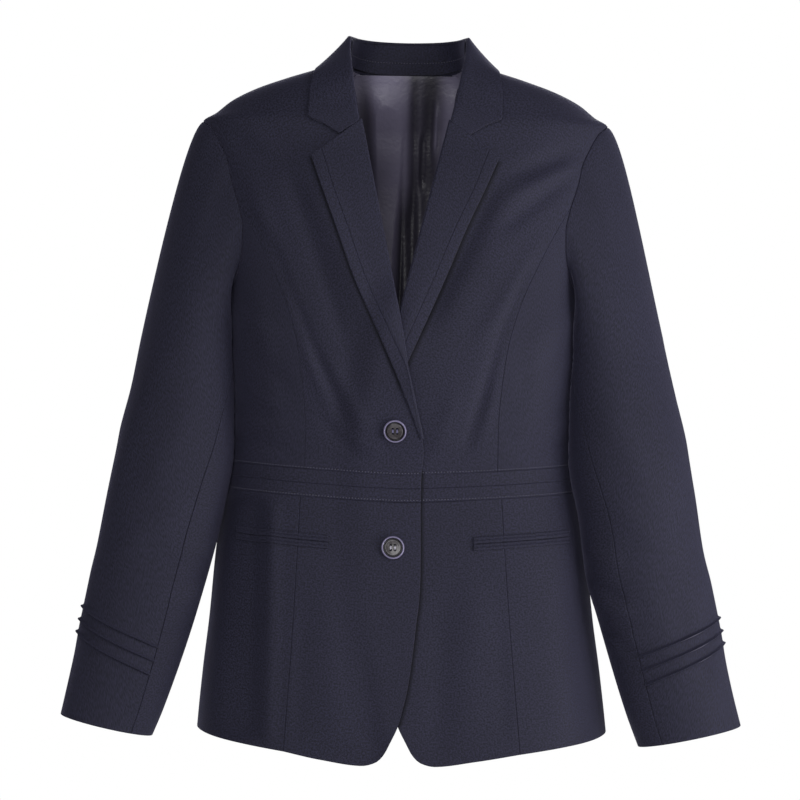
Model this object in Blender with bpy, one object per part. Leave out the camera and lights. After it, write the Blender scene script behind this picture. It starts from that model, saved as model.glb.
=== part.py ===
"""Women's uniform blazer, filled out and empty, in metres with +Z up and the fronts facing -Y.

The origin is at the middle of the neck base. Every size below is in millimetres. "Down" is the distance below
the origin, "out" is the distance sideways from the front's centre line, and R and L are the wearer's.
"""

import math

import bmesh
import bpy
import numpy as np
from mathutils import Matrix, Vector

MM = 0.001
WALL = 1.8
THIN_WALL = 1.2
EDGE_TRIM = 0.2
SLEEVE_TRIM = 0.3
ARMHOLE_GAP = 0.5
SQUARENESS = 0.3
SIDES = (("R", -1), ("L", 1))

# The body's cross-sections: half the width, and the depth before and behind the side seams.
SECTIONS = np.array([
    # down, half width, front depth, back depth
    (-12, 60, 50, 55),
    (-2, 92, 51, 56),
    (5, 115, 53, 58),
    (16.5, 147, 57, 62),
    (28, 169, 62, 67),
    (40, 184, 67, 72),
    (48, 196, 70, 75),
    (72, 192, 76, 80),
    (105, 186, 86, 89),
    (140, 181, 94, 93),
    (175, 177, 99, 95),
    (225, 172, 104, 94),
    (260, 172, 106, 92),
    (320, 166, 98, 82),
    (376, 164, 88, 73),
    (405, 166, 86, 73),
    (459, 177, 91, 84),
    (528, 186, 98, 98),
    (575, 192, 102, 101),
    (633, 198, 106, 104),
    (660, 200, 107, 105),
], float)
LEAN = 6.5
LEAN_DOWN = 400

# Seams on the front and the back, as rows of (out, down).
NECK_FRONT = [(60, -12), (59, 0), (53.5, 10), (48.5, 20)]
ARMHOLE_FRONT_UPPER = [(196, 48), (185, 58), (177, 72), (169, 90), (166, 105), (158, 130)]
ARMHOLE_FRONT_LOWER = [(158, 130), (153.5, 153), (154, 175), (160, 200), (168, 218), (172, 225)]
ARMHOLE_BACK = [(196, 48), (183, 72), (174, 105), (168, 140), (166, 175), (168, 200), (172, 225)]
PRINCESS = [(158, 130), (143, 156), (128.5, 184), (110, 226), (99, 265), (94, 300), (91, 340), (91, 378)]
SKIRT_SEAM = [(95, 409), (99, 480), (102.5, 536), (111, 646)]
ARMPIT, HEM_SIDE, HEM_BACK = 225, 633, 640
SHOULDER_TOP, SHOULDER_TIP = -12, 48

# The waist insert is two strips below this line, which dips to the front.
BAND_TOP_SIDE, BAND_DIP, STRIP_DEPTH = 376, 9.6, 13

# The roll line leaves the centre line by this much, and the lapel's outer edge by the rows below.
ROLL_AT_NECK, ROLL_SLOPE, BREAK_DOWN = 53, 0.226, 345
GORGE = [(43, 46), (61, 63.5)]
LAPEL_EDGE = [(88.5, 86), (76, 115), (60, 152), (42.5, 200), (19, 250), (0, 290), (-11, 315), (-21.5, 338)]
LAPEL_BAND, LAPEL_BAND_TOP, LAPEL_BODY_END = 9.6, (81.5, 80.3), 298
LAPEL_WALL, LAPEL_CLEARANCE, LAPEL_FLOAT = 1.9, 1.1, 1.2

# The overlapping front's edge, as (down, how far it passes the middle), then its rounded corner and hem.
EDGE_PAST_MIDDLE = {"R": 6.5, "L": 9.5}
FRONT_EDGE = [(345, 18), (386, 17), (429, 15), (506, 12), (554, 6), (602, -1.4), (621, -8), (635, -15)]
CORNER_AND_HEM = [(-15, 635), (-22.6, 648.5), (-30, 655), (-42, 658), (-80, 653)]

# How far the right front stands off to pass over the left lapel and the left front.
OVERLAP_LIFT = [(196, 0), (232, 7.6), (338, 7.6), (376, 2.8), (660, 2.8)]
OVERLAP_FADE = (40, 6)

# The sleeve's cross-sections below the armpit, turned so that the front comes inwards.
SLEEVE = np.array([
    # down, centre out, half width, half depth, centre y
    (226, 202.5, 44.5, 62, -2),
    (262, 207, 49, 56, -3),
    (319, 213.5, 53.5, 48, -6),
    (412, 227.5, 58.5, 41, -14),
    (505, 248.3, 56.3, 38, -24),
    (598, 271, 53.3, 34, -34),
    (640, 283, 50, 32, -38),
], float)
SLEEVE_TURN = math.radians(12)
SLEEVE_TILT = 0.22
SLEEVE_CLEARANCE = 3.5
CAP_END, CUFF = 262, 635
CAP_ROWS = (0, 0.1, 0.28, 0.5, 0.75)
ARM_ROWS = (262, 290, 319, 375, 435, 490)
CAP_TOP_DOWN, CAP_TOP_LEAVES, CAP_LOW_LEAVES = 150, np.array([15, 0, -6]), np.array([7.5, 0, 0])
CAP_ARRIVES, CAP_ARRIVES_SHARE, CAP_ARRIVES_INWARD, CAP_CLEARS = 80, 0.4, 0.2, 0.25
TOP_COLUMNS = 15
FRONT_SEAM_ANGLE = [(225, 162), (269, 148), (330, 127), (388, 115), (455, 110), (552, 113), (640, 117)]
BACK_SEAM_ANGLE = -105
TUCKS = [
    # distance from the cuff at the sleeve's outer edge, and at its front seam
    (102, 83),
    (90, 70),
    (78.5, 57),
]
TUCK_HEIGHT, TUCK_HALF_BASE, TUCK_TURN = 2.6, 2.2, 115

# Half of the collar, from the gorge seam round to the centre back: its fold and its outer edge.
COLLAR = np.array([
    # station, fold x, fold y, fold z, edge x, edge y, edge z
    (0, 43.5, -70.5, -46, 61.5, -74, -62.5),
    (1, 45.5, -67, -38, 78, -71, -54),
    (2, 47.5, -62.5, -28, 92, -67.5, -46),
    (3, 51.5, -52, -4, 94, -56.5, -24),
    (4, 55, -30, 19, 94, -41, -4),
    (5, 56, -6, 36, 92.5, 0, 6),
    (6, 50, 28, 38, 82, 42, 1),
    (7, 28, 53, 38, 44, 63, -8),
    (8, 0, 60, 38, 0, 65, -11),
], float)
COLLAR_STATIONS = (0, 1, 2, 2.5, 3, 3.5, 4, 4.5, 5, 5.5, 6, 6.5, 7, 7.5, 8)
COLLAR_WALL, COLLAR_BULGE, COLLAR_HALF_GAP, COLLAR_ROWS = 2.0, 3.0, 0.3, 4
STAND_FRONT, STAND_SIDE, STAND_LIFT = 3.3, 5, 0.5
NECK_BACK = [(60, -12), (50, -9), (28, -5), (0, -4)]

POCKET_INNER, POCKET_OUTER = (68, 450), (160, 443)
WELT_DEPTH, WELT_GAP = 6, 0.5
BUTTONS = {
    # name: x, down, and how far its back stands off the curve of the cloth
    "button_upper": (-9.7, 344.6, -0.1),
    "button_lower": (-12.2, 454.5, 0.4),
}
BUTTON_HOLE_RADIUS, BUTTON_HOLE_PLACE = 1.2, 2.9
BUTTON_PROFILE = [(0, 0), (8.2, 0), (10.4, 1), (10.75, 2.2), (10, 3.4), (8.8, 3.6), (7.7, 2.6), (0, 2.2)]
LINING_SIDE = [(50, -6), (80, 18), (104, 60), (110, 150), (110, 330)]
LINING_TOP, LINING_WALL = -3, 1.0
LINING_CLEARANCE = [(-10, 10), (5, 6), (110, 1.1), (330, 1.1)]

WELT_CLEARANCE = 0.5

# How finely each panel is divided.
FRONT_COLUMNS, SIDE_COLUMNS, STRIP_COLUMNS, BACK_COLUMNS = 7, 5, 12, 16
ARMHOLE_ROWS, PRINCESS_ROWS, SKIRT_ROWS = 5, 9, 9
LOOP_HALF, LOOP_START = 2 * ARMHOLE_ROWS, 6
LAPEL_ROWS, LAPEL_COLUMNS = 12, 4
LINING_ROWS, LINING_COLUMNS = 10, 10

CLOTH = ("suiting", (0.028, 0.028, 0.048, 1), 0.72, 0)
SATIN = ("lining", (0.07, 0.07, 0.078, 1), 0.35, 0)
RESIN = ("button", (0.035, 0.03, 0.045, 1), 0.22, 0)


def smooth(at, rows, column=1):
    """Cubic through a table's rows that never overshoots: each slope is the harmonic mean of its neighbours'."""
    table = np.asarray(rows, float)
    xs, ys = table[:, 0], table[:, column]
    steps = np.diff(xs)
    slopes = np.diff(ys) / steps
    bend = np.concatenate([slopes[:1], np.zeros(len(xs) - 2), slopes[-1:]])
    same = slopes[:-1] * slopes[1:] > 0
    both = np.where(same, slopes[:-1] + slopes[1:], 1)
    bend[1:-1] = np.where(same, 2 * slopes[:-1] * slopes[1:] / both, 0)
    i = np.clip(np.searchsorted(xs, at) - 1, 0, len(steps) - 1)
    t = (at - xs[i]) / steps[i]
    start = (1 + 2 * t) * (1 - t) ** 2 * ys[i] + t * (1 - t) ** 2 * steps[i] * bend[i]
    end = t * t * (3 - 2 * t) * ys[i + 1] + t * t * (t - 1) * steps[i] * bend[i + 1]
    return start + end


def step(low, high, at):
    t = np.clip((at - low) / (high - low), 0, 1)
    return t * t * (3 - 2 * t)


def unit(vectors):
    return vectors / np.linalg.norm(vectors, axis=-1, keepdims=True)


def centre_line(down):
    """The garment leans a little, so its centre line drifts to the viewer's left on the way down."""
    return -LEAN * np.clip(down / LEAN_DOWN, 0, 1)


def body_point(phi, down):
    """A section is an ellipse, a little squared; phi is 0 at the front, 90 degrees at the side and 180 behind."""
    half = smooth(down, SECTIONS, 1)
    depth = np.where(np.cos(phi) > 0, smooth(down, SECTIONS, 2), smooth(down, SECTIONS, 3))
    x = centre_line(down) + half * np.sin(phi)
    y = -depth * np.cos(phi) * (1 + SQUARENESS * np.sin(phi) ** 2)
    return np.stack([x, y, -down + 0 * x], axis=-1)


def body_normal(phi, down):
    around = body_point(phi + 0.01, down) - body_point(phi - 0.01, down)
    along = body_point(phi, down + 1) - body_point(phi, down - 1)
    return unit(np.cross(along, around))


# A pattern coordinate across the body, between its width seen from the front and its length round the section.
ANGLES = np.linspace(-math.pi / 2, math.pi / 2, 181)
SPREAD = 0.5 * np.sin(ANGLES) + ANGLES / math.pi


def spread_of(out, down):
    """Pattern coordinates of a point that is seen this far out from the centre line."""
    half = smooth(down, SECTIONS, 1)
    phi = np.arcsin(np.clip(out / half, -1, 1))
    return np.stack([half * np.interp(phi, ANGLES, SPREAD), down + 0 * out], axis=-1)


def phi_of(flat, back):
    half = smooth(flat[..., 1], SECTIONS, 1)
    phi = np.interp(np.clip(flat[..., 0] / half, -1, 1), SPREAD, ANGLES)
    return math.pi - phi if back else phi


def on_body(flat, back=False, off=0.0):
    """World points of pattern coordinates, moved off the surface along its normal."""
    phi = phi_of(flat, back)
    normal = body_normal(phi, flat[..., 1])
    return body_point(phi, flat[..., 1]) + normal * np.asarray(off)[..., None]


def lengths(points):
    return np.concatenate([[0], np.cumsum(np.linalg.norm(np.diff(points, axis=0), axis=1))])


def seam(rows, count, back=False):
    """A smooth seam through (out, down) rows, as count + 1 pattern points evenly spaced along the cloth."""
    rows = np.array(rows, float)
    place = lengths(rows)
    fine = np.linspace(0, place[-1], 80)
    out, down = (smooth(fine, np.column_stack([place, rows[:, i]])) for i in (0, 1))
    flat = spread_of(out, down)
    along = lengths(on_body(flat, back))
    at = np.linspace(0, along[-1], count + 1)
    return np.stack([np.interp(at, along, flat[:, i]) for i in (0, 1)], axis=-1)


def edge_of_side(start, end, count):
    """The side or shoulder seam, which runs down the body's outermost line."""
    down = np.linspace(start, end, count + 1)
    return spread_of(smooth(down, SECTIONS, 1), down)


def joined(*seams):
    return np.concatenate([seams[0]] + [part[1:] for part in seams[1:]])


def mirrored(flat):
    return flat * (-1, 1)


def patch(top, bottom, left, right):
    """Coons patch between four seams in pattern coordinates: rows run down, columns run from left to right."""
    u = np.linspace(0, 1, len(top))[None, :, None]
    v = np.linspace(0, 1, len(left))[:, None, None]
    ruled = (1 - v) * top + v * bottom + (1 - u) * left[:, None] + u * right[:, None]
    corners = (1 - u) * ((1 - v) * top[0] + v * bottom[0]) + u * ((1 - v) * top[-1] + v * bottom[-1])
    return ruled - corners


def trimmed(grid, amount=EDGE_TRIM):
    """The grid with its border rows and columns moved inwards, which leaves a gap at each seam."""
    grid = grid.copy()
    for edge, inner in ((0, 1), (-1, -2)):
        gap = grid[inner] - grid[edge]
        grid[edge] += gap * amount / np.linalg.norm(gap, axis=-1, keepdims=True)
    for edge, inner in ((0, 1), (-1, -2)):
        gap = grid[:, inner] - grid[:, edge]
        grid[:, edge] += gap * amount / np.linalg.norm(gap, axis=-1, keepdims=True)
    return grid


def grid_normals(points):
    along, across = np.gradient(points, axis=(0, 1))
    return unit(np.cross(along, across))


def material(finish):
    name, colour, roughness, metallic = finish
    found = bpy.data.materials.get(name)
    if found:
        return found
    made = bpy.data.materials.new(name)
    made.use_nodes = True
    shader = made.node_tree.nodes["Principled BSDF"]
    shader.inputs["Base Color"].default_value = colour
    shader.inputs["Roughness"].default_value = roughness
    shader.inputs["Metallic"].default_value = metallic
    return made


def add_object(name, vertices, faces, finish):
    mesh = bpy.data.meshes.new(name)
    mesh.from_pydata((np.asarray(vertices) * MM).tolist(), [], faces)
    mesh.materials.append(material(finish))
    shape = bmesh.new()
    shape.from_mesh(mesh)
    if shape.calc_volume(signed=True) < 0:
        bmesh.ops.reverse_faces(shape, faces=shape.faces)
    shape.to_mesh(mesh)
    shape.free()
    mesh.shade_smooth()
    mesh.set_sharp_from_angle(angle=math.radians(40))
    made = bpy.data.objects.new(name, mesh)
    bpy.context.scene.collection.objects.link(made)
    return made


def cloth(name, outer, inner, finish=CLOTH):
    """A closed wall of cloth: an outer grid and an inner grid of points, joined round their border."""
    rows, columns = outer.shape[:2]
    number = np.arange(rows * columns).reshape(rows, columns)
    quads = np.stack([number[:-1, :-1], number[1:, :-1], number[1:, 1:], number[:-1, 1:]], axis=-1)
    quads = quads.reshape(-1, 4)
    back = rows * columns
    border = np.concatenate([number[0, :-1], number[:-1, -1], number[-1, :0:-1], number[:0:-1, 0]])
    after = np.roll(border, -1)
    walls = np.stack([border, after, after + back, border + back], axis=-1)
    faces = np.concatenate([quads, quads[:, ::-1] + back, walls])
    vertices = np.concatenate([outer.reshape(-1, 3), inner.reshape(-1, 3)])
    return add_object(name, vertices, faces.tolist(), finish)


def roll_line(down):
    return ROLL_AT_NECK - ROLL_SLOPE * down


def edge_out(down, name):
    """How far out the front's edge lies, on its own side: below zero where it passes the centre line."""
    past = -smooth(down, FRONT_EDGE) - EDGE_PAST_MIDDLE[name]
    return np.where(down < BREAK_DOWN, roll_line(down), past)


def overlap_lift(flat, name):
    """The right front stands off where it passes over the left one, and comes down to the body beyond it."""
    if name == "L":
        return np.zeros(flat.shape[:-1])
    down = flat[..., 1]
    x = body_point(phi_of(flat, False), down)[..., 0]
    left_edge = centre_line(down) + edge_out(down, "L")
    height = smooth(np.clip(down, OVERLAP_LIFT[0][0], None), OVERLAP_LIFT)
    return height * step(-OVERLAP_FADE[0], -OVERLAP_FADE[1], x - left_edge)


def panel(name, flat, back=False, wall=WALL, off=0.0, lift=0.0, finish=CLOTH):
    """A panel that follows the body, its outer face this far off it, with a gap at every edge."""
    flat = trimmed(flat)
    face = np.asarray(off + lift)
    return cloth(name, on_body(flat, back, face), on_body(flat, back, face - wall), finish)


def sided(flat, side):
    return flat if side > 0 else mirrored(flat)


def waist(out, below, back=False):
    """Pattern points this far below the insert's top, which dips at the front, for these distances out."""
    share = out / smooth(BAND_TOP_SIDE, SECTIONS, 1)
    dip = 0 * share if back else BAND_DIP * (1 - share**2)
    return spread_of(out, BAND_TOP_SIDE + below + dip)


def waist_side(below):
    return float(smooth(BAND_TOP_SIDE + below, SECTIONS, 1))


def front_panels():
    princess_end = float(waist(np.array([PRINCESS[-1][0]]), 0)[0, 1])
    princess = seam(PRINCESS[:-1] + [(PRINCESS[-1][0], princess_end)], PRINCESS_ROWS)
    upper_armhole = seam(ARMHOLE_FRONT_UPPER, ARMHOLE_ROWS)
    lower_armhole = seam(ARMHOLE_FRONT_LOWER, ARMHOLE_ROWS)
    shoulder = edge_of_side(SHOULDER_TOP, SHOULDER_TIP, FRONT_COLUMNS)
    for name, side in SIDES:
        roll = [(roll_line(down), down) for down in (46, 120, 200, 280, 340)]
        edge_end = float(edge_out(BAND_TOP_SIDE + BAND_DIP, name))
        inner = seam(NECK_FRONT + roll + [(edge_end, BAND_TOP_SIDE + BAND_DIP)], ARMHOLE_ROWS + PRINCESS_ROWS)
        bottom = waist(np.linspace(edge_end, PRINCESS[-1][0], FRONT_COLUMNS + 1), 0)
        front = patch(shoulder, bottom, inner, joined(upper_armhole, princess))
        front = sided(front, side)
        panel(f"front_{name}", front, lift=overlap_lift(trimmed(front), name))
        bottom = waist(np.linspace(PRINCESS[-1][0], waist_side(0), SIDE_COLUMNS + 1), 0)
        side_seam = edge_of_side(ARMPIT, BAND_TOP_SIDE, PRINCESS_ROWS)
        panel(f"side_front_{name}", sided(patch(lower_armhole, bottom, princess, side_seam), side))


def back_panels():
    shoulder = edge_of_side(SHOULDER_TOP, SHOULDER_TIP, FRONT_COLUMNS)
    neck = seam(NECK_BACK, 3, back=True)
    top = joined(neck[::-1], shoulder)
    armhole = seam(ARMHOLE_BACK, LOOP_HALF, back=True)
    side_seam = joined(armhole, edge_of_side(ARMPIT, BAND_TOP_SIDE, PRINCESS_ROWS))
    centre_seam = np.linspace((0, NECK_BACK[-1][1]), (0, BAND_TOP_SIDE), len(side_seam))
    bottom = waist(np.linspace(0, waist_side(0), len(top)), 0, back=True)
    band_bottom = 2 * STRIP_DEPTH
    shares = np.linspace(0, 1, BACK_COLUMNS // 2 + 1)
    skirt_top = waist(shares * waist_side(band_bottom), band_bottom, back=True)
    hem_down = HEM_BACK + (HEM_SIDE - HEM_BACK) * shares**2
    hem = spread_of(shares * smooth(hem_down, SECTIONS, 1), hem_down)
    skirt_side = edge_of_side(BAND_TOP_SIDE + band_bottom, HEM_SIDE, SKIRT_ROWS)
    skirt_centre = np.linspace((0, BAND_TOP_SIDE + band_bottom), (0, HEM_BACK), len(skirt_side))
    for name, side in SIDES:
        panel(f"back_{name}", sided(patch(top, bottom, centre_seam, side_seam), side), back=True)
        panel(f"skirt_back_{name}", sided(patch(skirt_top, hem, skirt_centre, skirt_side), side), back=True)


def waist_strips():
    for number, place in enumerate(("upper", "lower")):
        above, below = number * STRIP_DEPTH, (number + 1) * STRIP_DEPTH
        for name, side in SIDES:
            grid = []
            for depth in (above, below):
                start = float(edge_out(BAND_TOP_SIDE + BAND_DIP + depth, name))
                grid.append(waist(np.linspace(start, waist_side(depth), STRIP_COLUMNS + 1), depth))
            strip = sided(np.array(grid), side)
            panel(f"waist_{place}_front_{name}", strip, lift=overlap_lift(trimmed(strip), name))
        outs = np.linspace(-1, 1, BACK_COLUMNS + 1)
        grid = [waist(outs * waist_side(depth), depth, back=True) for depth in (above, below)]
        panel(f"waist_{place}_back", np.array(grid), back=True)


def skirt_fronts():
    seam_out = SKIRT_SEAM[0][0]
    band_bottom = 2 * STRIP_DEPTH
    top_down = float(waist(np.array([seam_out]), band_bottom)[0, 1])
    skirt_seam = seam([(seam_out, top_down)] + SKIRT_SEAM[1:], SKIRT_ROWS)
    hem_side = seam([SKIRT_SEAM[-1], (150, 640.5), (185, 635.5), (198, HEM_SIDE)], SIDE_COLUMNS)
    for name, side in SIDES:
        start = float(BAND_TOP_SIDE + BAND_DIP + band_bottom)
        downs = [start] + [down for down, _ in FRONT_EDGE if down > start]
        inner = seam([(float(edge_out(down, name)), down) for down in downs], SKIRT_ROWS)
        hem = [(-x - EDGE_PAST_MIDDLE[name], down) for x, down in CORNER_AND_HEM] + [SKIRT_SEAM[-1]]
        top = waist(np.linspace(float(edge_out(start, name)), seam_out, FRONT_COLUMNS + 1), band_bottom)
        front = sided(patch(top, seam(hem, FRONT_COLUMNS), inner, skirt_seam), side)
        panel(f"skirt_front_{name}", front, lift=overlap_lift(trimmed(front), name))
        top = waist(np.linspace(seam_out, waist_side(band_bottom), SIDE_COLUMNS + 1), band_bottom)
        right = edge_of_side(BAND_TOP_SIDE + band_bottom, HEM_SIDE, SKIRT_ROWS)
        panel(f"skirt_side_{name}", sided(patch(top, hem_side, skirt_seam, right), side))


def lapels():
    edge = [(out, down) for out, down in LAPEL_EDGE]
    ends = [down for down in (46, 110, 180, 240) if down < LAPEL_BODY_END] + [LAPEL_BODY_END]
    roll = seam([(roll_line(down), down) for down in ends], LAPEL_ROWS)
    last = np.interp(LAPEL_BODY_END, *zip(*[(down, out) for out, down in edge]))
    inside = [LAPEL_BAND_TOP] + [(out - LAPEL_BAND, down) for out, down in edge[1:] if down < LAPEL_BODY_END]
    inside = inside + [(float(last) - LAPEL_BAND, LAPEL_BODY_END)]
    top = seam(GORGE + [LAPEL_BAND_TOP], LAPEL_COLUMNS)
    bottom = np.linspace(roll[-1], seam(inside, LAPEL_ROWS)[-1], LAPEL_COLUMNS + 1)
    body = patch(top, bottom, roll, seam(inside, LAPEL_ROWS))
    tail = [(roll_line(down) + 0.3, down) for down in (312, 326, 338)]
    band_inner = seam(inside + tail, LAPEL_ROWS)
    band_outer = seam(edge, LAPEL_ROWS)
    share = np.linspace(0, 1, 3)[:, None]
    band = patch(
        (1 - share) * band_inner[0] + share * band_outer[0],
        (1 - share) * band_inner[-1] + share * band_outer[-1],
        band_inner,
        band_outer,
    )
    for name, side in SIDES:
        for piece, grid in ((f"lapel_{name}", sided(body, side)), (f"lapel_band_{name}", sided(band, side))):
            across = np.linspace(0, 1, grid.shape[1]) if "band" not in piece else np.zeros(grid.shape[1])
            swell = LAPEL_FLOAT * np.sin(math.pi * across)[None, :] * np.ones(grid.shape[:2])
            off = LAPEL_CLEARANCE + LAPEL_WALL + swell
            panel(piece, grid, wall=LAPEL_WALL, off=off, lift=overlap_lift(trimmed(grid), name))


def collar_curves(stations):
    """The fold and the outer edge; the row past the centre back mirrors the one before it, so they cross it level."""
    beyond = COLLAR[-2] * (1, -1, 1, 1, -1, 1, 1) + (2, 0, 0, 0, 0, 0, 0)
    rows = np.vstack([COLLAR, beyond])
    fold = np.stack([smooth(stations, rows, i) for i in (1, 2, 3)], axis=-1)
    edge = np.stack([smooth(stations, rows, i) for i in (4, 5, 6)], axis=-1)
    return fold, edge


def whole_collar(half):
    """Both halves of a grid that runs from the front to the centre back."""
    return np.concatenate([half, half[:, -2::-1] * (-1, 1, 1)], axis=1)


def wall_from(grid, outer, inner):
    """A wall between two distances from a grid, along its normals, which point away from the neck."""
    normals = grid_normals(grid)
    away = np.sum(normals * (grid - grid.mean(axis=(0, 1))), axis=-1).mean()
    normals = normals * np.sign(away)
    grid = trimmed(grid)
    return grid + normals * outer, grid + normals * inner


def collar():
    stations = np.array(COLLAR_STATIONS, float)
    fold, edge = collar_curves(stations)
    v = np.linspace(0, 1, COLLAR_ROWS + 1)[:, None, None]
    fall = whole_collar((1 - v) * fold + v * edge)
    rise = step(2, 5, stations)
    rise = np.concatenate([rise, rise[-2::-1]])
    bulge = COLLAR_BULGE * np.sin(math.pi * v[..., 0]) * rise
    outer, inner = wall_from(fall, (COLLAR_HALF_GAP + COLLAR_WALL + bulge)[..., None],
                             (COLLAR_HALF_GAP + bulge)[..., None])
    cloth("collar_fall", outer, inner)
    front_foot = on_body(seam([(54, 9), (59, 0), (60, -12)], 4))
    back_foot = on_body(seam(NECK_BACK, 6, back=True), back=True)
    foot = joined(front_foot, back_foot) + (0, 0, STAND_LIFT)
    places = joined(np.linspace(STAND_FRONT, STAND_SIDE, 5), np.linspace(STAND_SIDE, 8, 7))
    fold, _ = collar_curves(places)
    v = np.linspace(0, 1, 4)[:, None, None]
    outer, inner = wall_from(whole_collar((1 - v) * fold + v * foot), -COLLAR_HALF_GAP,
                             -COLLAR_HALF_GAP - WALL)
    cloth("collar_stand", outer, inner)


def clear_of_body(points, side, clearance):
    """Points moved straight out from the body's axis to stand at least this far off it."""
    down = -points[..., 2]
    x = points[..., 0] - centre_line(down)
    y = points[..., 1]
    half = smooth(down, SECTIONS, 1)
    depth = np.where(y < 0, smooth(down, SECTIONS, 2), smooth(down, SECTIONS, 3))
    phi = np.arctan2(np.abs(x) / half, np.abs(y) / depth)
    for _ in range(4):
        squared = depth * (1 + SQUARENESS * np.sin(phi) ** 2)
        phi = np.arctan2(np.abs(x) / half, np.abs(y) / squared)
    squared = depth * (1 + SQUARENESS * np.sin(phi) ** 2)
    ratio = np.hypot(x / half, y / squared)
    wanted = 1 + clearance / np.minimum(np.hypot(x, y), half)
    grow = np.maximum(1, wanted / ratio)
    return np.stack([centre_line(down) + x * grow, y * grow, points[..., 2]], axis=-1)


def sleeve_ring(down, theta, side):
    """A sleeve section: an ellipse turned about Z, whose outer side is the higher; theta is 90 at the front."""
    out, half, depth, middle = (smooth(down, SLEEVE, i) for i in (1, 2, 3, 4))
    wide, deep = half * np.cos(theta), -depth * np.sin(theta)
    across = wide * math.cos(SLEEVE_TURN) + deep * math.sin(SLEEVE_TURN)
    y = middle + deep * math.cos(SLEEVE_TURN) - wide * math.sin(SLEEVE_TURN) * 0.5
    x = centre_line(down) + side * (out + across)
    return np.stack([x, y, -down + SLEEVE_TILT * across], axis=-1)


def armhole_loop(side):
    """The armhole's points, once round from the shoulder tip, first down the front."""
    front = joined(seam(ARMHOLE_FRONT_UPPER, ARMHOLE_ROWS), seam(ARMHOLE_FRONT_LOWER, ARMHOLE_ROWS))
    back = seam(ARMHOLE_BACK, LOOP_HALF, back=True)
    points = np.concatenate([
        on_body(sided(front, side)),
        on_body(sided(back, side), back=True)[-2:0:-1],
    ])
    return points + (side * ARMHOLE_GAP, 0, 0)


def sleeve_angles(down, columns):
    """Angles of the columns: the top sleeve's from the back seam to the front seam, then the under sleeve's."""
    front = smooth(down, FRONT_SEAM_ANGLE)
    top = BACK_SEAM_ANGLE + (front - BACK_SEAM_ANGLE) * columns / TOP_COLUMNS
    rest = (columns - TOP_COLUMNS) / (2 * LOOP_HALF - TOP_COLUMNS)
    under = front + (360 + BACK_SEAM_ANGLE - front) * rest
    return np.radians(np.where(columns <= TOP_COLUMNS, top, under))


def sleeves():
    columns = np.arange(2 * LOOP_HALF + 1)
    for name, side in SIDES:
        loop = armhole_loop(side)[(columns - LOOP_START) % (2 * LOOP_HALF)]
        start = sleeve_ring(CAP_END + 0 * columns, sleeve_angles(CAP_END, columns), side)
        leave = loop + np.where(loop[:, 2:] > -CAP_TOP_DOWN, CAP_TOP_LEAVES, CAP_LOW_LEAVES) * (side, 1, 1)
        drop = (loop[:, 2] - start[:, 2])[:, None]
        arrive = start + np.clip(drop * CAP_ARRIVES_SHARE, 0, CAP_ARRIVES) * (-side * CAP_ARRIVES_INWARD, 0, 1)
        rows, heights, clear = [], [], []
        for t in CAP_ROWS:
            rows.append(
                (1 - t) ** 3 * loop + 3 * t * (1 - t) ** 2 * leave + 3 * t * t * (1 - t) * arrive + t**3 * start
            )
            heights.append(0 * columns)
            clear.append(SLEEVE_CLEARANCE * min(1, t / CAP_CLEARS))
        places = [(down + 0 * columns, 0) for down in ARM_ROWS]
        share = np.clip(1 - np.abs(np.degrees(sleeve_angles(CUFF, columns))) / TUCK_TURN, 0, 1)
        for outer, inner in TUCKS:
            middle = CUFF - inner - (outer - inner) * share
            places += [(middle - TUCK_HALF_BASE, 0), (middle, TUCK_HEIGHT), (middle + TUCK_HALF_BASE, 0)]
        places.append((CUFF + 0 * columns, 0))
        for down, height in places:
            rows.append(sleeve_ring(down, sleeve_angles(down, columns), side))
            heights.append(height * (columns <= TOP_COLUMNS))
            clear.append(SLEEVE_CLEARANCE)
        grid = np.array([clear_of_body(row, side, far) if far else row for row, far in zip(rows, clear)])
        wide = np.concatenate([grid[:, -2:-1], grid, grid[:, 1:2]], axis=1)
        normals = grid_normals(wide)[:, 1:-1]
        middle = grid.mean(axis=1, keepdims=True)
        normals = normals * np.sign(np.sum(normals * (grid - middle), axis=-1).mean())
        raised = grid + normals * np.array(heights, float)[..., None]
        for piece, part in (("top", slice(0, TOP_COLUMNS + 1)), ("under", slice(TOP_COLUMNS, None))):
            outer = trimmed(raised[:, part], SLEEVE_TRIM)
            inner = trimmed(grid[:, part], SLEEVE_TRIM) - normals[:, part] * WALL
            cloth(f"{piece}_sleeve_{name}", outer, inner)


def pocket_welts():
    share = np.linspace(0, 1, 9)
    out = POCKET_INNER[0] + (POCKET_OUTER[0] - POCKET_INNER[0]) * share
    middle = POCKET_INNER[1] + (POCKET_OUTER[1] - POCKET_INNER[1]) * share
    for name, side in SIDES:
        for place, sign in (("upper", -1), ("lower", 1)):
            near, far = middle + sign * WELT_GAP / 2, middle + sign * (WELT_GAP / 2 + WELT_DEPTH)
            grid = np.array([spread_of(out, near), spread_of(out, far)])
            panel(f"welt_{place}_{name}", sided(grid, side), wall=THIN_WALL, off=WELT_CLEARANCE + THIN_WALL)


def back_lining():
    side = seam(LINING_SIDE, LINING_ROWS, back=True)
    share = np.linspace(-1, 1, LINING_COLUMNS + 1)
    top_down = LINING_TOP + (LINING_SIDE[0][1] - LINING_TOP) * share**2
    top = spread_of(share * LINING_SIDE[0][0], top_down)
    bottom = spread_of(share * LINING_SIDE[-1][0], LINING_SIDE[-1][1] + 0 * share)
    grid = patch(top, bottom, mirrored(side), side)
    off = -WALL - smooth(grid[..., 1], LINING_CLEARANCE)
    panel("back_lining", grid, back=True, wall=LINING_WALL, off=off, finish=SATIN)


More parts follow.
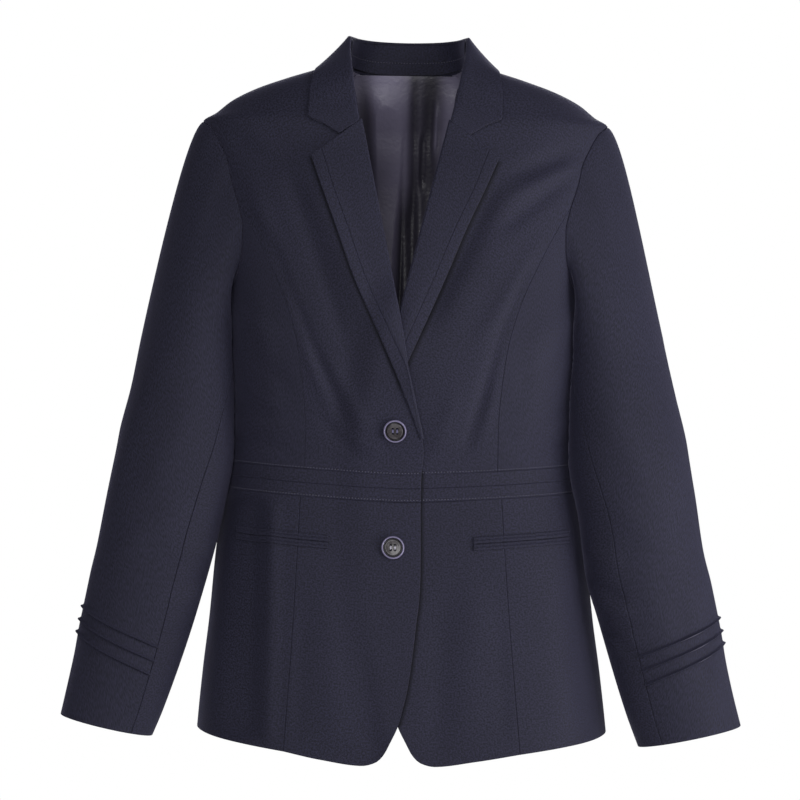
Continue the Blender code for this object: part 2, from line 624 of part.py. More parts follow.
def buttons():
    for name, (x, down, stand_off) in BUTTONS.items():
        flat = spread_of(np.array(x - centre_line(down)), np.array(float(down)))
        phi = phi_of(flat, False)
        off = overlap_lift(flat, "R") + stand_off
        place = on_body(flat, off=off)
        facing = Vector(body_normal(phi, flat[..., 1])).to_track_quat("Z", "Y")
        shape = bmesh.new()
        ring = [shape.verts.new((radius * MM, 0, height * MM)) for radius, height in BUTTON_PROFILE]
        edges = [shape.edges.new(pair) for pair in zip(ring, ring[1:])]
        bmesh.ops.spin(shape, geom=ring + edges, cent=(0, 0, 0), axis=(0, 0, 1), angle=math.tau, steps=24)
        bmesh.ops.remove_doubles(shape, verts=shape.verts, dist=1e-6)
        bmesh.ops.recalc_face_normals(shape, faces=shape.faces)
        mesh = bpy.data.meshes.new(name)
        shape.to_mesh(mesh)
        shape.free()
        mesh.materials.append(material(RESIN))
        mesh.shade_smooth()
        mesh.set_sharp_from_angle(angle=math.radians(35))
        button = bpy.data.objects.new(name, mesh)
        holes = bmesh.new()
        for turn in range(4):
            angle = math.radians(45 + 90 * turn)
            spot = Matrix.Translation((
                BUTTON_HOLE_PLACE * math.cos(angle) * MM, BUTTON_HOLE_PLACE * math.sin(angle) * MM, 0
            ))
            bmesh.ops.create_cone(
                holes, cap_ends=True, segments=8, radius1=BUTTON_HOLE_RADIUS * MM,
                radius2=BUTTON_HOLE_RADIUS * MM, depth=12 * MM, matrix=spot,
            )
        cutter_mesh = bpy.data.meshes.new(name + "_holes")
        holes.to_mesh(cutter_mesh)
        holes.free()
        cutter = bpy.data.objects.new(name + "_holes", cutter_mesh)
        cutter.hide_render = True
        cutter.display_type = "WIRE"
        for item in (button, cutter):
            item.location = place * MM
            item.rotation_mode = "QUATERNION"
            item.rotation_quaternion = facing
            bpy.context.scene.collection.objects.link(item)
        cut = button.modifiers.new("holes", "BOOLEAN")
        cut.object = cutter
        cut.operation = "DIFFERENCE"
        cut.solver = "EXACT"


def main():
    for old in list(bpy.data.objects):
        bpy.data.objects.remove(old)
    front_panels()
    back_panels()
    waist_strips()
    skirt_fronts()
    lapels()
    collar()
    sleeves()
    pocket_welts()
    back_lining()
    buttons()


main()
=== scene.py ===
"""The looks of a women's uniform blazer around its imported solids. Tables and shapes are in millimetres."""

import math

import bpy
import numpy as np
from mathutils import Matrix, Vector


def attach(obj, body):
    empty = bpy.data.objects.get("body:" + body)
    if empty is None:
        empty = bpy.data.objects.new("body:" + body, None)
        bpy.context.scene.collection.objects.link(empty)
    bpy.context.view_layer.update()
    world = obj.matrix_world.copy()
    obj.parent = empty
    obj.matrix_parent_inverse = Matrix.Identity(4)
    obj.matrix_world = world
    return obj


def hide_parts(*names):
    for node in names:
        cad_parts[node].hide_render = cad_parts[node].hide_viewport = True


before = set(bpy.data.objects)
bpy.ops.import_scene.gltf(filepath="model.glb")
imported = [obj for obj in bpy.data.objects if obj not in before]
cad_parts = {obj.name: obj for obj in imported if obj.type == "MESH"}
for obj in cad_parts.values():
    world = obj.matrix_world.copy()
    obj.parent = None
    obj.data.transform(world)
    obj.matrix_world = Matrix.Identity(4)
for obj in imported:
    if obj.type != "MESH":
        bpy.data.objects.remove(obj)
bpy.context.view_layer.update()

# The camera looks level at the fronts from 3 m away, as in the photo, and the room is white all round.
# The floor is a pale disc far enough below the hem to stay out of that view.
MM = 0.001
CAMERA_X, CAMERA_AWAY, CAMERA_HEIGHT, FRAME_WIDTH, SENSOR = -6.0, 3000.0, -315.0, 776.0, 36.0
FLOOR_DOWN, FLOOR_RADIUS = 900.0, 1100.0


def placed(name, data):
    """A new object for this data, linked to the scene at the origin."""
    made = bpy.data.objects.new(name, data)
    bpy.context.scene.collection.objects.link(made)
    return made


def new_material(name):
    """A material, its node tree and its Principled shader."""
    made = bpy.data.materials.new(name)
    made.use_nodes = True
    return made, made.node_tree, made.node_tree.nodes["Principled BSDF"]


def wired(tree, kind, inputs, **settings):
    """A node with these settings, as its outputs; each input is linked to a socket or takes a value."""
    node = tree.nodes.new(kind)
    for name, value in settings.items():
        setattr(node, name, value)
    for name, value in inputs.items():
        if isinstance(value, bpy.types.NodeSocket):
            tree.links.new(value, node.inputs[name])
        else:
            node.inputs[name].default_value = value
    return node.outputs


def add_camera():
    lens = bpy.data.cameras.new("camera")
    lens.sensor_width = SENSOR
    lens.lens = SENSOR * CAMERA_AWAY / FRAME_WIDTH
    lens.clip_end = 50
    camera = placed("camera", lens)
    camera.location = (CAMERA_X * MM, -CAMERA_AWAY * MM, CAMERA_HEIGHT * MM)
    camera.rotation_euler = (math.radians(90), 0, 0)
    bpy.context.scene.camera = camera


def add_light(name, place, size, power):
    """A square soft box that faces the garment's middle."""
    box = bpy.data.lights.new(name, "AREA")
    box.shape = "SQUARE"
    box.size = size
    box.energy = power
    light = placed(name, box)
    light.location = place
    aim = Vector((0, 0, CAMERA_HEIGHT * MM)) - light.location
    light.rotation_euler = aim.to_track_quat("-Z", "Y").to_euler()


def add_room():
    """White to the camera, and a dimmer white as a light, so that the cloth keeps its shading."""
    world = bpy.data.worlds.new("room")
    bpy.context.scene.world = world
    world.use_nodes = True
    tree = world.node_tree
    bright = tree.nodes["Background"]
    bright.inputs["Color"].default_value = (1, 1, 1, 1)
    bright.inputs["Strength"].default_value = 1.0
    dim = wired(tree, "ShaderNodeBackground", {"Color": (1, 1, 1, 1), "Strength": 0.1})[0]
    seen = wired(tree, "ShaderNodeLightPath", {})["Is Camera Ray"]
    mix = wired(tree, "ShaderNodeMixShader", {"Fac": seen, 1: dim, 2: bright.outputs[0]})[0]
    tree.links.new(mix, tree.nodes["World Output"].inputs["Surface"])
    bpy.context.scene.view_settings.view_transform = "Standard"


def add_floor():
    disc = bpy.data.meshes.new("floor")
    turn = np.linspace(0, math.tau, 97)[:-1]
    rim = np.stack([np.cos(turn) * FLOOR_RADIUS, np.sin(turn) * FLOOR_RADIUS, 0 * turn - FLOOR_DOWN], -1)
    disc.from_pydata((rim * MM).tolist(), [], [list(range(len(turn)))])
    pale, _, shader = new_material("pale_floor")
    shader.inputs["Base Color"].default_value = (0.82, 0.82, 0.82, 1)
    shader.inputs["Roughness"].default_value = 0.9
    disc.materials.append(pale)
    placed("floor", disc)


add_camera()
add_room()
add_floor()
add_light("key", (1.9, -2.3, 0.55), 1.3, 22)
add_light("side", (2.4, -0.6, -0.5), 1.3, 14.5)
add_light("left", (-2.2, -2.0, -0.2), 1.6, 5)
add_light("front", (-0.4, -2.6, 0.4), 1.2, 20)
add_light("low", (1.3, -0.8, -1.0), 0.6, 13)
add_light("behind", (0.2, 3.0, 0.6), 1.6, 34)

# The fronts: suiting panels from the shoulder seam to the waist insert, cut along the princess seam. The
# right one laps over the left. Each is one layer with its lining behind it, and its edges are turned in and
# pressed.
WALL, PRESSED, SPACING = 1.8, 0.9, 4
LEAST_SIZE, LEAST_FILL = 0.0101, 0.301
SEAM_TRIM, BACK_TRIM = -0.15, -0.7
FOLD_FADE, TURN_IN = 14, 3
ARMHOLE_SHARE = 0.28
SQUARENESS = [(200, 0.3), (376, 0.36), (470, 0.5), (660, 0.5)]
SIDES = (("R", -1), ("L", 1))
SECTIONS = np.array([
    # down, half width, front depth, back depth
    (-12, 60, 50, 55),
    (-2, 92, 51, 56),
    (5, 115, 53, 58),
    (16.5, 147, 57, 62),
    (28, 169, 62, 67),
    (40, 184, 67, 72),
    (48, 196, 70, 75),
    (72, 192, 76, 80),
    (105, 186, 86, 89),
    (140, 181, 94, 93),
    (175, 177, 99, 95),
    (225, 172, 104, 94),
    (260, 172, 106, 92),
    (320, 166, 98, 82),
    (376, 167, 88, 73),
    (405, 170.5, 86, 73),
    (459, 179, 91, 84),
    (528, 186, 98, 98),
    (575, 192, 102, 101),
    (633, 198, 106, 104),
    (660, 200, 107, 105),
], float)
LEAN, LEAN_DOWN = 6.5, 400
DROP_TO_LEFT, DRIFT_TO_LEFT = 0.0145, 0.003
SHOULDER_TOP, SHOULDER_TIP, ARMPIT = -12, 48, 225
NECK_FRONT = [(60, -12), (59, 0), (53.5, 10), (48.5, 20)]
ARMHOLE_FRONT_UPPER = [(196, 48), (185, 58), (177, 72), (169, 90), (166, 105), (158, 130)]
BAND_TOP_SIDE, BAND_DIP, BAND_DIP_POWER, STRIP_DEPTH = 376, 9.6, 1.35, 13
PRINCESS = [(158, 130), (143, 156), (128.5, 184), (110, 226), (99, 265), (94, 300), (91, 340), (91, 381.3)]
ROLL_AT_NECK, ROLL_SLOPE, BREAK_DOWN = {"R": 53.9, "L": 55.6}, {"R": 0.208, "L": 0.245}, 345
EDGE_PAST_MIDDLE = {"R": 4, "L": 11}
FRONT_EDGE = [
    # down, and past the middle
    (345, 17), (366, 17), (386, 15.2), (429, 14.5), (460, 14.5), (480, 14.2), (506, 12.8), (520, 10.8),
    (557, 6.3), (588, 1.4), (602, -2), (622, -7.8), (635, -14),
]
OVERLAP_LIFT = [(196, 0), (232, 7.6), (338, 7.6), (376, 3.4), (660, 3.2)]
OVERLAP_FADE = (40, 6)
LAPEL_EDGE = {
    "R": [(88.5, 86), (78, 115), (64, 152), (46.7, 200), (24, 250), (5.5, 290), (-4.5, 315), (-12.5, 335),
          (-18, 350)],
    "L": [(88.5, 86), (76, 115), (59, 152), (39.5, 200), (18, 250), (0, 290), (-11, 315), (-21.5, 338)],
}
# Slopes of the softened distances that give the painted shadow beside each lapel and beside the right
# front's edge, and the downs where the latter fades in.
LAPEL_SHADE, FRONT_SHADE, FRONT_SHADE_FROM = {"R": 0.3, "L": 0.17}, 0.22, (350, 385)
UNCOVERED, LAPEL_FOOT_FADE = 20, 30
ROLL_ROWS, LOWEST_EDGE_ROW, FACING = (46, 120, 200, 280, 330), 364, 75
NAVY = (0.0238, 0.0232, 0.0445, 1)
SATIN_GREY = (0.15, 0.137, 0.205, 1)
FRONT_DRAPES = [
    # side, out and down at both ends of a soft fold, its half width, and how far it stands out
    ("L", 94, 90, 14, 258, 13, -7.0),
    ("L", 165, 74, 92, 104, 8, -3.4),
    ("L", 168, 92, 84, 158, 8, -3.0),
    ("L", 172, 84, 88, 128, 6, 2.2),
    ("L", 140, 150, 66, 268, 9, 2.2),
    ("L", 128, 166, 62, 350, 8, -2.8),
    ("L", 104, 236, 74, 356, 7, 1.8),
    ("L", 84, 296, 58, 366, 6, -2.0),
    ("L", 52, 300, 30, 372, 9, 1.4),
    ("R", 96, 84, 22, 262, 12, 5.5),
    ("R", 120, 76, 44, 290, 8, -2.4),
    ("R", 172, 62, 112, 104, 10, -2.4),
    ("R", 150, 100, 90, 250, 9, 2.0),
    ("R", 132, 150, 84, 270, 7, -2.4),
    ("R", 112, 236, 60, 330, 7, 1.7),
    ("R", 92, 250, 48, 350, 6, -2.2),
    ("R", 72, 270, 30, 350, 7, 1.6),
    ("R", 80, 330, 40, 368, 7, -1.2),
    ("R", 50, 352, 16, 366, 7, 1.2),
]


def smooth(at, rows, column=1):
    """Cubic through a table's rows without overshoot: slopes are harmonic means of their two chords'."""
    table = np.asarray(rows, float)
    xs, ys = table[:, 0], table[:, column]
    steps = np.diff(xs)
    slopes = np.diff(ys) / steps
    bend = np.concatenate([slopes[:1], np.zeros(len(xs) - 2), slopes[-1:]])
    same = slopes[:-1] * slopes[1:] > 0
    both = np.where(same, slopes[:-1] + slopes[1:], 1)
    bend[1:-1] = np.where(same, 2 * slopes[:-1] * slopes[1:] / both, 0)
    i = np.clip(np.searchsorted(xs, at) - 1, 0, len(steps) - 1)
    t = (at - xs[i]) / steps[i]
    start = (1 + 2 * t) * (1 - t) ** 2 * ys[i] + t * (1 - t) ** 2 * steps[i] * bend[i]
    end = t * t * (3 - 2 * t) * ys[i + 1] + t * t * (t - 1) * steps[i] * bend[i + 1]
    return start + end


def step(low, high, at):
    t = np.clip((at - low) / (high - low), 0, 1)
    return t * t * (3 - 2 * t)


def unit(vectors):
    return vectors / np.maximum(np.linalg.norm(vectors, axis=-1, keepdims=True), 1e-9)


def centre_line(down):
    return -LEAN * np.clip(down / LEAN_DOWN, 0, 1)


def squareness(down):
    return smooth(np.clip(down, SQUARENESS[0][0], SQUARENESS[-1][0]), SQUARENESS)


def body_point(phi, down):
    """A section is an ellipse, a little squared. Its angle phi is 0 in front, pi / 2 at the side."""
    half = smooth(down, SECTIONS, 1)
    depth = np.where(np.cos(phi) > 0, smooth(down, SECTIONS, 2), smooth(down, SECTIONS, 3))
    x = centre_line(down) + half * np.sin(phi)
    y = -depth * np.cos(phi) * (1 + squareness(down) * np.sin(phi) ** 2)
    return np.stack([x, y, -down + 0 * x], axis=-1)


def body_normal(phi, down):
    """The cross product of the surface's two tangents, from central differences."""
    around = body_point(phi + 0.01, down) - body_point(phi - 0.01, down)
    along = body_point(phi, down + 1) - body_point(phi, down - 1)
    return unit(np.cross(along, around))


ANGLES = np.linspace(-math.pi / 2, math.pi / 2, 181)
SPREAD = 0.5 * np.sin(ANGLES) + ANGLES / math.pi


def spread_of(out, down):
    """Pattern coordinates: the half width times (half the angle's sine + the angle over pi), and down."""
    half = smooth(down, SECTIONS, 1)
    phi = np.arcsin(np.clip(out / half, -1, 1))
    return np.stack([half * np.interp(phi, ANGLES, SPREAD), down + 0 * out], axis=-1)


def phi_of(flat, back=False):
    half = smooth(flat[..., 1], SECTIONS, 1)
    phi = np.interp(np.clip(flat[..., 0] / half, -1, 1), SPREAD, ANGLES)
    return math.pi - phi if back else phi


def body_at(flat, back=False):
    return body_point(phi_of(flat, back), flat[..., 1])


def on_body(flat, back=False):
    """The body's points and outward normals at these pattern coordinates."""
    return body_at(flat, back), body_normal(phi_of(flat, back), flat[..., 1])


def raised(points, normal, height):
    return points + normal * np.asarray(height)[..., None]


def lengths(points):
    return np.concatenate([[0], np.cumsum(np.linalg.norm(np.diff(points, axis=0), axis=1))])


def seam(rows, at, back=False):
    """A smooth seam through (out, down) rows, read at fractions of its length along the cloth."""
    rows = np.array(rows, float)
    place = lengths(rows)
    fine = np.linspace(0, place[-1], 160)
    out, down = (smooth(fine, np.column_stack([place, rows[:, i]])) for i in (0, 1))
    flat = spread_of(out, down)
    along = lengths(body_at(flat, back))
    return np.stack([np.interp(np.asarray(at) * along[-1], along, flat[:, i]) for i in (0, 1)], axis=-1)


def side_edge(start, end, at):
    """The side or shoulder seam, which runs down the body's outermost line."""
    down = start + (end - start) * np.asarray(at)
    return spread_of(smooth(down, SECTIONS, 1), down)


def split_seam(first, second, share, at):
    """Two seams read one after the other: the first takes this share of the fractions."""
    early = first(np.clip(at / share, 0, 1))
    late = second(np.clip((at - share) / (1 - share), 0, 1))
    return np.where(np.asarray(at)[:, None] < share, early, late)


def patch(u, v, top, bottom, left, right):
    """Coons patch: what the two pairs of edges give by straight blending, less their corners' blend."""
    u, v, left, right = u[None, :, None], v[:, None, None], left[:, None], right[:, None]
    ruled = (1 - v) * top + v * bottom + (1 - u) * left + u * right
    corners = (1 - u) * ((1 - v) * top[0] + v * bottom[0]) + u * ((1 - v) * top[-1] + v * bottom[-1])
    return ruled - corners


def fractions(length, spacing=SPACING):
    """Fractions along an edge of this length: even, and closer where its pressed ends roll over."""
    close = np.array([0, 0.25, 0.6, 1.1, 1.8, 3.0]) / length
    count = max(3, int(length / spacing))
    middle = np.linspace(close[-1], 1 - close[-1], count)[1:-1]
    return np.concatenate([close, middle, 1 - close[::-1]])


def edge_distances(points):
    """Each point's distance along the cloth from the top, bottom, left and right of its grid."""
    down = np.linalg.norm(np.diff(points, axis=0), axis=-1)
    across = np.linalg.norm(np.diff(points, axis=1), axis=-1)
    top = np.concatenate([np.zeros((1, points.shape[1])), np.cumsum(down, axis=0)])
    left = np.concatenate([np.zeros((points.shape[0], 1)), np.cumsum(across, axis=1)], axis=1)
    return top, top[-1:] - top, left, left[:, -1:] - left


def trimmed(grid, amount=SEAM_TRIM):
    """The grid with its border moved this far inwards; below zero it moves out and laps its neighbours."""
    grid = grid.copy()
    for lines in (grid, np.swapaxes(grid, 0, 1)):
        for edge, inner in ((0, 4), (-1, -5)):
            gap = lines[inner] - lines[edge]
            lines[edge] += gap * amount / np.maximum(np.linalg.norm(gap, axis=-1, keepdims=True), 1e-6)
    return grid


def pressed_down(distance, radius=PRESSED):
    """How far a turned edge has rolled down at this distance from it: a quarter circle."""
    left = np.clip(radius - distance, 0, radius)
    return radius - np.sqrt(radius**2 - left**2)


def folds(out, down, rows, side):
    """Soft ridges and troughs: a bell across each line of this side's rows, which fades out at its ends."""
    total = np.zeros(np.shape(out))
    for name, out_a, down_a, out_b, down_b, width, height in rows:
        if name not in (side, "both"):
            continue
        along = np.array([out_b - out_a, down_b - down_a], float)
        length = np.hypot(*along)
        along /= length
        s = ((out - out_a) * along[0] + (down - down_a) * along[1]) / length
        across = (out - out_a) * along[1] - (down - down_a) * along[0]
        fade = np.exp(-((np.clip(np.abs(s - 0.5) - 0.22, 0, None) / 0.2) ** 2))
        total = total + height * np.exp(-((across / width) ** 2)) * fade
    return total


def calculated(tree, kind, *values):
    return wired(tree, "ShaderNodeMath", dict(enumerate(values)), operation=kind)[0]


def make_thread_grain():
    """Group: plain weave height, a slub mask and a soft cloud, all from the cloth's own UV in metres."""
    group = bpy.data.node_groups.new("thread_grain", "ShaderNodeTree")
    face = group.interface
    for name, value in (("Thread", 0.0009), ("Slub", 900)):
        face.new_socket(name, in_out="INPUT", socket_type="NodeSocketFloat").default_value = value
    for name in ("Weave", "Slubs", "Cloud"):
        face.new_socket(name, in_out="OUTPUT", socket_type="NodeSocketFloat")
    given, result = group.nodes.new("NodeGroupInput").outputs, group.nodes.new("NodeGroupOutput").inputs
    place = wired(group, "ShaderNodeUVMap", {})["UV"]
    split = wired(group, "ShaderNodeSeparateXYZ", {0: place})
    waves = []
    for axis in ("X", "Y"):
        turns = calculated(group, "DIVIDE", split[axis], given["Thread"])
        waves.append(calculated(group, "SINE", calculated(group, "MULTIPLY", turns, math.tau)))
    weave = calculated(group, "MULTIPLY", *waves)
    group.links.new(calculated(group, "MULTIPLY_ADD", weave, 0.5, 0.5), result["Weave"])
    for name, scale, detail in (("Slubs", given["Slub"], 3), ("Cloud", 9, 4)):
        noise = wired(group, "ShaderNodeTexNoise", {"Vector": place, "Scale": scale, "Detail": detail})
        group.links.new(noise["Fac"], result[name])
    return group


THREAD_GRAIN = make_thread_grain()


def mixed(tree, factor, dark, light):
    inputs = {"Factor": factor, "A": dark, "B": light}
    return wired(tree, "ShaderNodeMix", inputs, data_type="RGBA")["Result"]


def ranged(tree, value, low, high, to_low=0.0, to_high=1.0):
    """The value from low to high, mapped smoothly to another range."""
    inputs = {"Value": value, "From Min": low, "From Max": high, "To Min": to_low, "To Max": to_high}
    return wired(tree, "ShaderNodeMapRange", inputs, interpolation_type="SMOOTHSTEP")["Result"]


def attribute(tree, name):
    return wired(tree, "ShaderNodeAttribute", {}, attribute_name=name)["Fac"]


def brightened(tree, colour, first, second):
    """The colour times both values."""
    amount = calculated(tree, "MULTIPLY", first, second)
    return wired(tree, "ShaderNodeVectorMath", {0: colour, "Scale": amount}, operation="SCALE")["Vector"]


def shaded(colour, amount):
    return tuple(c * amount for c in colour[:3]) + (1,)


def cloth_material(name, thread, slub):
    """A material, its tree and shader, and the outputs of its grain group."""
    made, tree, shader = new_material(name)
    return made, tree, shader, wired(tree, "ShaderNodeGroup", {"Thread": thread, "Slub": slub},
                                     node_tree=THREAD_GRAIN)


def bumped(tree, shader, heights, distance):
    """Bumps the shader's normal by the sum of these heights."""
    total = heights[0]
    for height in heights[1:]:
        total = calculated(tree, "ADD", total, height)
    bump = wired(tree, "ShaderNodeBump", {"Strength": 0.6, "Distance": distance, "Height": total})
    tree.links.new(bump["Normal"], shader.inputs["Normal"])


def suiting_cloth():
    """Navy suiting: a speckled plain weave, a matt face, a faint cool sheen, and painted shade by edges and
    covers.
    """
    made, tree, shader, grain = cloth_material("navy_suiting", 0.0011, 600)
    speckle = ranged(tree, grain["Slubs"], 0.32, 0.68)
    colour = mixed(tree, speckle, shaded(NAVY, 0.5), shaded(NAVY, 1.5))
    cloud = ranged(tree, grain["Cloud"], 0.3, 0.7, 0.93, 1.07)
    # Painted shade: darker near each piece's edges and seams, and beside the lapels and the right front's
    # edge.
    painted_edge_shade = ranged(tree, attribute(tree, "edge"), 0.1, 1.1, 0.32, 1.0)
    tree.links.new(brightened(tree, colour, cloud, painted_edge_shade), shader.inputs["Base Color"])
    tree.links.new(ranged(tree, grain["Slubs"], 0.3, 0.7, 0.6, 0.85), shader.inputs["Roughness"])
    bumped(tree, shader, (grain["Weave"], grain["Slubs"], grain["Slubs"]), 0.00016)
    shader.inputs["Specular IOR Level"].default_value = 0.25
    shader.inputs["Sheen Weight"].default_value = 0.22
    shader.inputs["Sheen Roughness"].default_value = 0.4
    shader.inputs["Sheen Tint"].default_value = (0.6, 0.58, 0.9, 1)
    return made


def satin_lining():
    """Dark grey satin: smooth, painted light on raised folds and painted shade in troughs, and fine creases.
    """
    made, tree, shader, grain = cloth_material("grey_satin", 0.0007, 260)
    cloud = ranged(tree, grain["Cloud"], 0.3, 0.7, 0.85, 1.15)
    # Painted light and shade: the colour is lighter on the folds that stand out and darker in the troughs.
    painted_fold_light = ranged(tree, attribute(tree, "lift"), -6, 3.5, 0.3, 1.7)
    tree.links.new(brightened(tree, SATIN_GREY[:3], cloud, painted_fold_light), shader.inputs["Base Color"])
    tree.links.new(ranged(tree, grain["Slubs"], 0.3, 0.7, 0.36, 0.48), shader.inputs["Roughness"])
    bumped(tree, shader, (grain["Cloud"], grain["Slubs"]), 0.0008)
    shader.inputs["Specular IOR Level"].default_value = 0.6
    shader.inputs["Sheen Weight"].default_value = 0.2
    shader.inputs["Sheen Roughness"].default_value = 0.35
    return made


SUITING, SATIN = suiting_cloth(), satin_lining()


def hang(points):
    """The garment hangs a little askew: the wearer's left side is lower, and the hem drifts that way."""
    x, z = points[..., 0], points[..., 2]
    return np.stack([x - DRIFT_TO_LEFT * z, points[..., 1], z - DROP_TO_LEFT * x], axis=-1)


def grid_quads(number):
    """Faces between the neighbours of a grid of point numbers."""
    corners = [number[:-1, :-1], number[1:, :-1], number[1:, 1:], number[:-1, 1:]]
    return np.stack(corners, axis=-1).reshape(-1, 4)


def point_values(mesh, name, values):
    mesh.attributes.new(name, "FLOAT", "POINT").data.foreach_set("value", values.astype(np.float32))


def riding(name, mesh, *materials):
    """The mesh as an object that is shaded smooth and rides on the part's one body."""
    mesh.polygons.foreach_set("use_smooth", np.ones(len(mesh.polygons), bool))
    for material in materials:
        mesh.materials.append(material)
    piece = placed(name, mesh)
    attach(piece, "root")
    return piece


def declare_sheet(outer, distances):
    a, b, c, d = outer[:-1, :-1], outer[1:, :-1], outer[1:, 1:], outer[:-1, 1:]
    halves = np.cross(b - a, c - a), np.cross(c - a, d - a)
    area = sum(np.linalg.norm(half, axis=-1) for half in halves).sum() / 2
    wide, long = (max(float(far.max()) * MM, LEAST_SIZE) for far in (distances[2][:, -1], distances[0][-1]))
    area = float(np.clip(area * MM * MM, LEAST_FILL * wide * long, wide * long))


def cloth_piece(name, outer, inner, satin_inside=None, tucked=None, slot="suiting"):
    """A closed wall of two grids and the strips that join their borders. Its UV is metres along the cloth.

    The attribute edge holds each point's distance in millimetres from the nearest edge, of the piece itself
    or of one that lies over it; the suiting paints shade from it along the edges and beside those covers.
    """
    number = np.arange(outer[..., 0].size).reshape(outer.shape[:2])
    back = number.size
    quads = grid_quads(number)
    border = np.concatenate([number[0, :-1], number[:-1, -1], number[-1, :0:-1], number[:0:-1, 0]])
    after = np.roll(border, -1)
    walls = np.stack([border, after, after + back, border + back], axis=-1)
    faces = np.concatenate([quads, quads[:, ::-1] + back, walls])
    points = hang(np.concatenate([outer.reshape(-1, 3), inner.reshape(-1, 3)]))
    a, b, c, d = (points[faces[:, i]] for i in range(4))
    if np.sum(a * np.cross(b, c)) + np.sum(a * np.cross(c, d)) < 0:
        faces = faces[:, ::-1]
    mesh = bpy.data.meshes.new(name)
    mesh.vertices.add(len(points))
    mesh.vertices.foreach_set("co", (points * MM).astype(np.float32).ravel())
    mesh.loops.add(faces.size)
    mesh.loops.foreach_set("vertex_index", faces.astype(np.int32).ravel())
    mesh.polygons.add(len(faces))
    mesh.polygons.foreach_set("loop_start", np.arange(0, faces.size, 4, dtype=np.int32))
    mesh.update(calc_edges=True)
    distances = edge_distances(outer)
    top, _, left, _ = distances
    middle = number.shape[1] // 2
    uv = np.stack([left - left[:, middle:middle + 1], top], axis=-1).reshape(-1, 2) * MM
    layer = mesh.uv_layers.new(name="cloth")
    layer.data.foreach_set("uv", np.concatenate([uv, uv])[faces.ravel()].astype(np.float32).ravel())
    nearest = np.minimum.reduce(distances if tucked is None else distances + (tucked,))
    point_values(mesh, "edge", np.tile(nearest.ravel(), 2))
    piece = riding(name, mesh, *([SUITING, SATIN] if slot == "suiting" else [SATIN]))
    if satin_inside is not None:
        lined = np.zeros(len(faces), np.int32)
        lined[len(quads):2 * len(quads)] = satin_inside[:-1, :-1].ravel()
        mesh.polygons.foreach_set("material_index", lined)
    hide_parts(name)
    declare_sheet(outer, distances)
    return piece


def roll_line(down, name):
    return ROLL_AT_NECK[name] - ROLL_SLOPE[name] * down


def edge_out(down, name):
    """How far out the front's edge lies on its own side, below zero where it passes the centre line."""
    past = -smooth(down, FRONT_EDGE) - EDGE_PAST_MIDDLE[name]
    return np.where(down < BREAK_DOWN, roll_line(down, name), past)


def overlap_lift(flat, name):
    """The right front stands off where it passes over the left one, and comes down to the body past it."""
    if name == "L":
        return np.zeros(flat.shape[:-1])
    down = flat[..., 1]
    x = body_at(flat)[..., 0]
    left_edge = centre_line(down) + edge_out(down, "L")
    height = smooth(np.clip(down, OVERLAP_LIFT[0][0], None), OVERLAP_LIFT)
    return height * step(-OVERLAP_FADE[0], -OVERLAP_FADE[1], x - left_edge)


def sided(flat, side):
    return flat if side > 0 else flat * (-1, 1)


def from_cover(flat, name):
    """A softened distance from a front's lapel, and on the left from the right front too: it sets the
    painted shadow.
    """
    down = flat[..., 1]
    x = body_at(flat)[..., 0] - centre_line(down)
    out_rows, down_rows = zip(*LAPEL_EDGE[name])
    lapel = np.interp(down, down_rows, out_rows)
    below = step(down_rows[-1] - LAPEL_FOOT_FADE, down_rows[-1], down)
    beyond = LAPEL_SHADE[name] * (np.abs(x) - lapel) + UNCOVERED * (below + (down < down_rows[0]))
    if name == "R":
        return beyond
    past = x + edge_out(down, "R")
    return np.minimum(beyond, FRONT_SHADE * past + UNCOVERED * (1 - step(*FRONT_SHADE_FROM, down)))


def panel(name, flat, back=False, lift=0.0, drapes=(), satin=None):
    """A panel that lies this far off the body, with soft folds and pressed edges."""
    flat = trimmed(flat, BACK_TRIM if back else SEAM_TRIM)
    points, normal = on_body(flat, back)
    distances = edge_distances(points)
    nearest = np.minimum.reduce(distances)
    out = np.abs(points[..., 0] - centre_line(flat[..., 1]))
    face = lift + folds(out, flat[..., 1], drapes, name[-1]) * step(0, FOLD_FADE, nearest)
    outer, inner = raised(points, normal, face - pressed_down(nearest)), raised(points, normal, face - WALL)
    covered = from_cover(flat, name[-1]) if "front" in name and "side" not in name else None
    lined = satin(distances) if satin else nearest > TURN_IN
    cloth_piece(name, outer, inner, lined, covered)


def waist(out, below, back=False):
    """Pattern points this far below the insert's top, which dips at the front, for these distances out."""
    share = out / smooth(BAND_TOP_SIDE, SECTIONS, 1)
    dip = 0 * share if back else BAND_DIP * (1 - np.abs(share) ** BAND_DIP_POWER)
    return spread_of(out, BAND_TOP_SIDE + below + dip)


def between(start, end, at):
    return start + (end - start) * np.asarray(at)


def waist_side(below):
    return float(smooth(BAND_TOP_SIDE + below, SECTIONS, 1))


def front_panel(name, side):
    u, v = fractions(150), np.unique(np.append(fractions(390), ARMHOLE_SHARE))
    low = BAND_TOP_SIDE + BAND_DIP
    end = float(edge_out(low, name))
    edge = [(float(edge_out(LOWEST_EDGE_ROW, name)), LOWEST_EDGE_ROW), (end, low)]
    inner = seam(NECK_FRONT + [(roll_line(down, name), down) for down in ROLL_ROWS] + edge, v)
    outer = split_seam(lambda t: seam(ARMHOLE_FRONT_UPPER, t), lambda t: seam(PRINCESS, t),
                       ARMHOLE_SHARE, v)
    top, bottom = side_edge(SHOULDER_TOP, SHOULDER_TIP, u), waist(between(end, PRINCESS[-1][0], u), 0)
    flat = sided(patch(u, v, top, bottom, inner, outer), side)
    panel(f"front_{name}", flat, lift=overlap_lift(trimmed(flat), name),
          drapes=FRONT_DRAPES, satin=lambda d: d[2] > FACING)


for name, side in SIDES:
    front_panel(name, side)

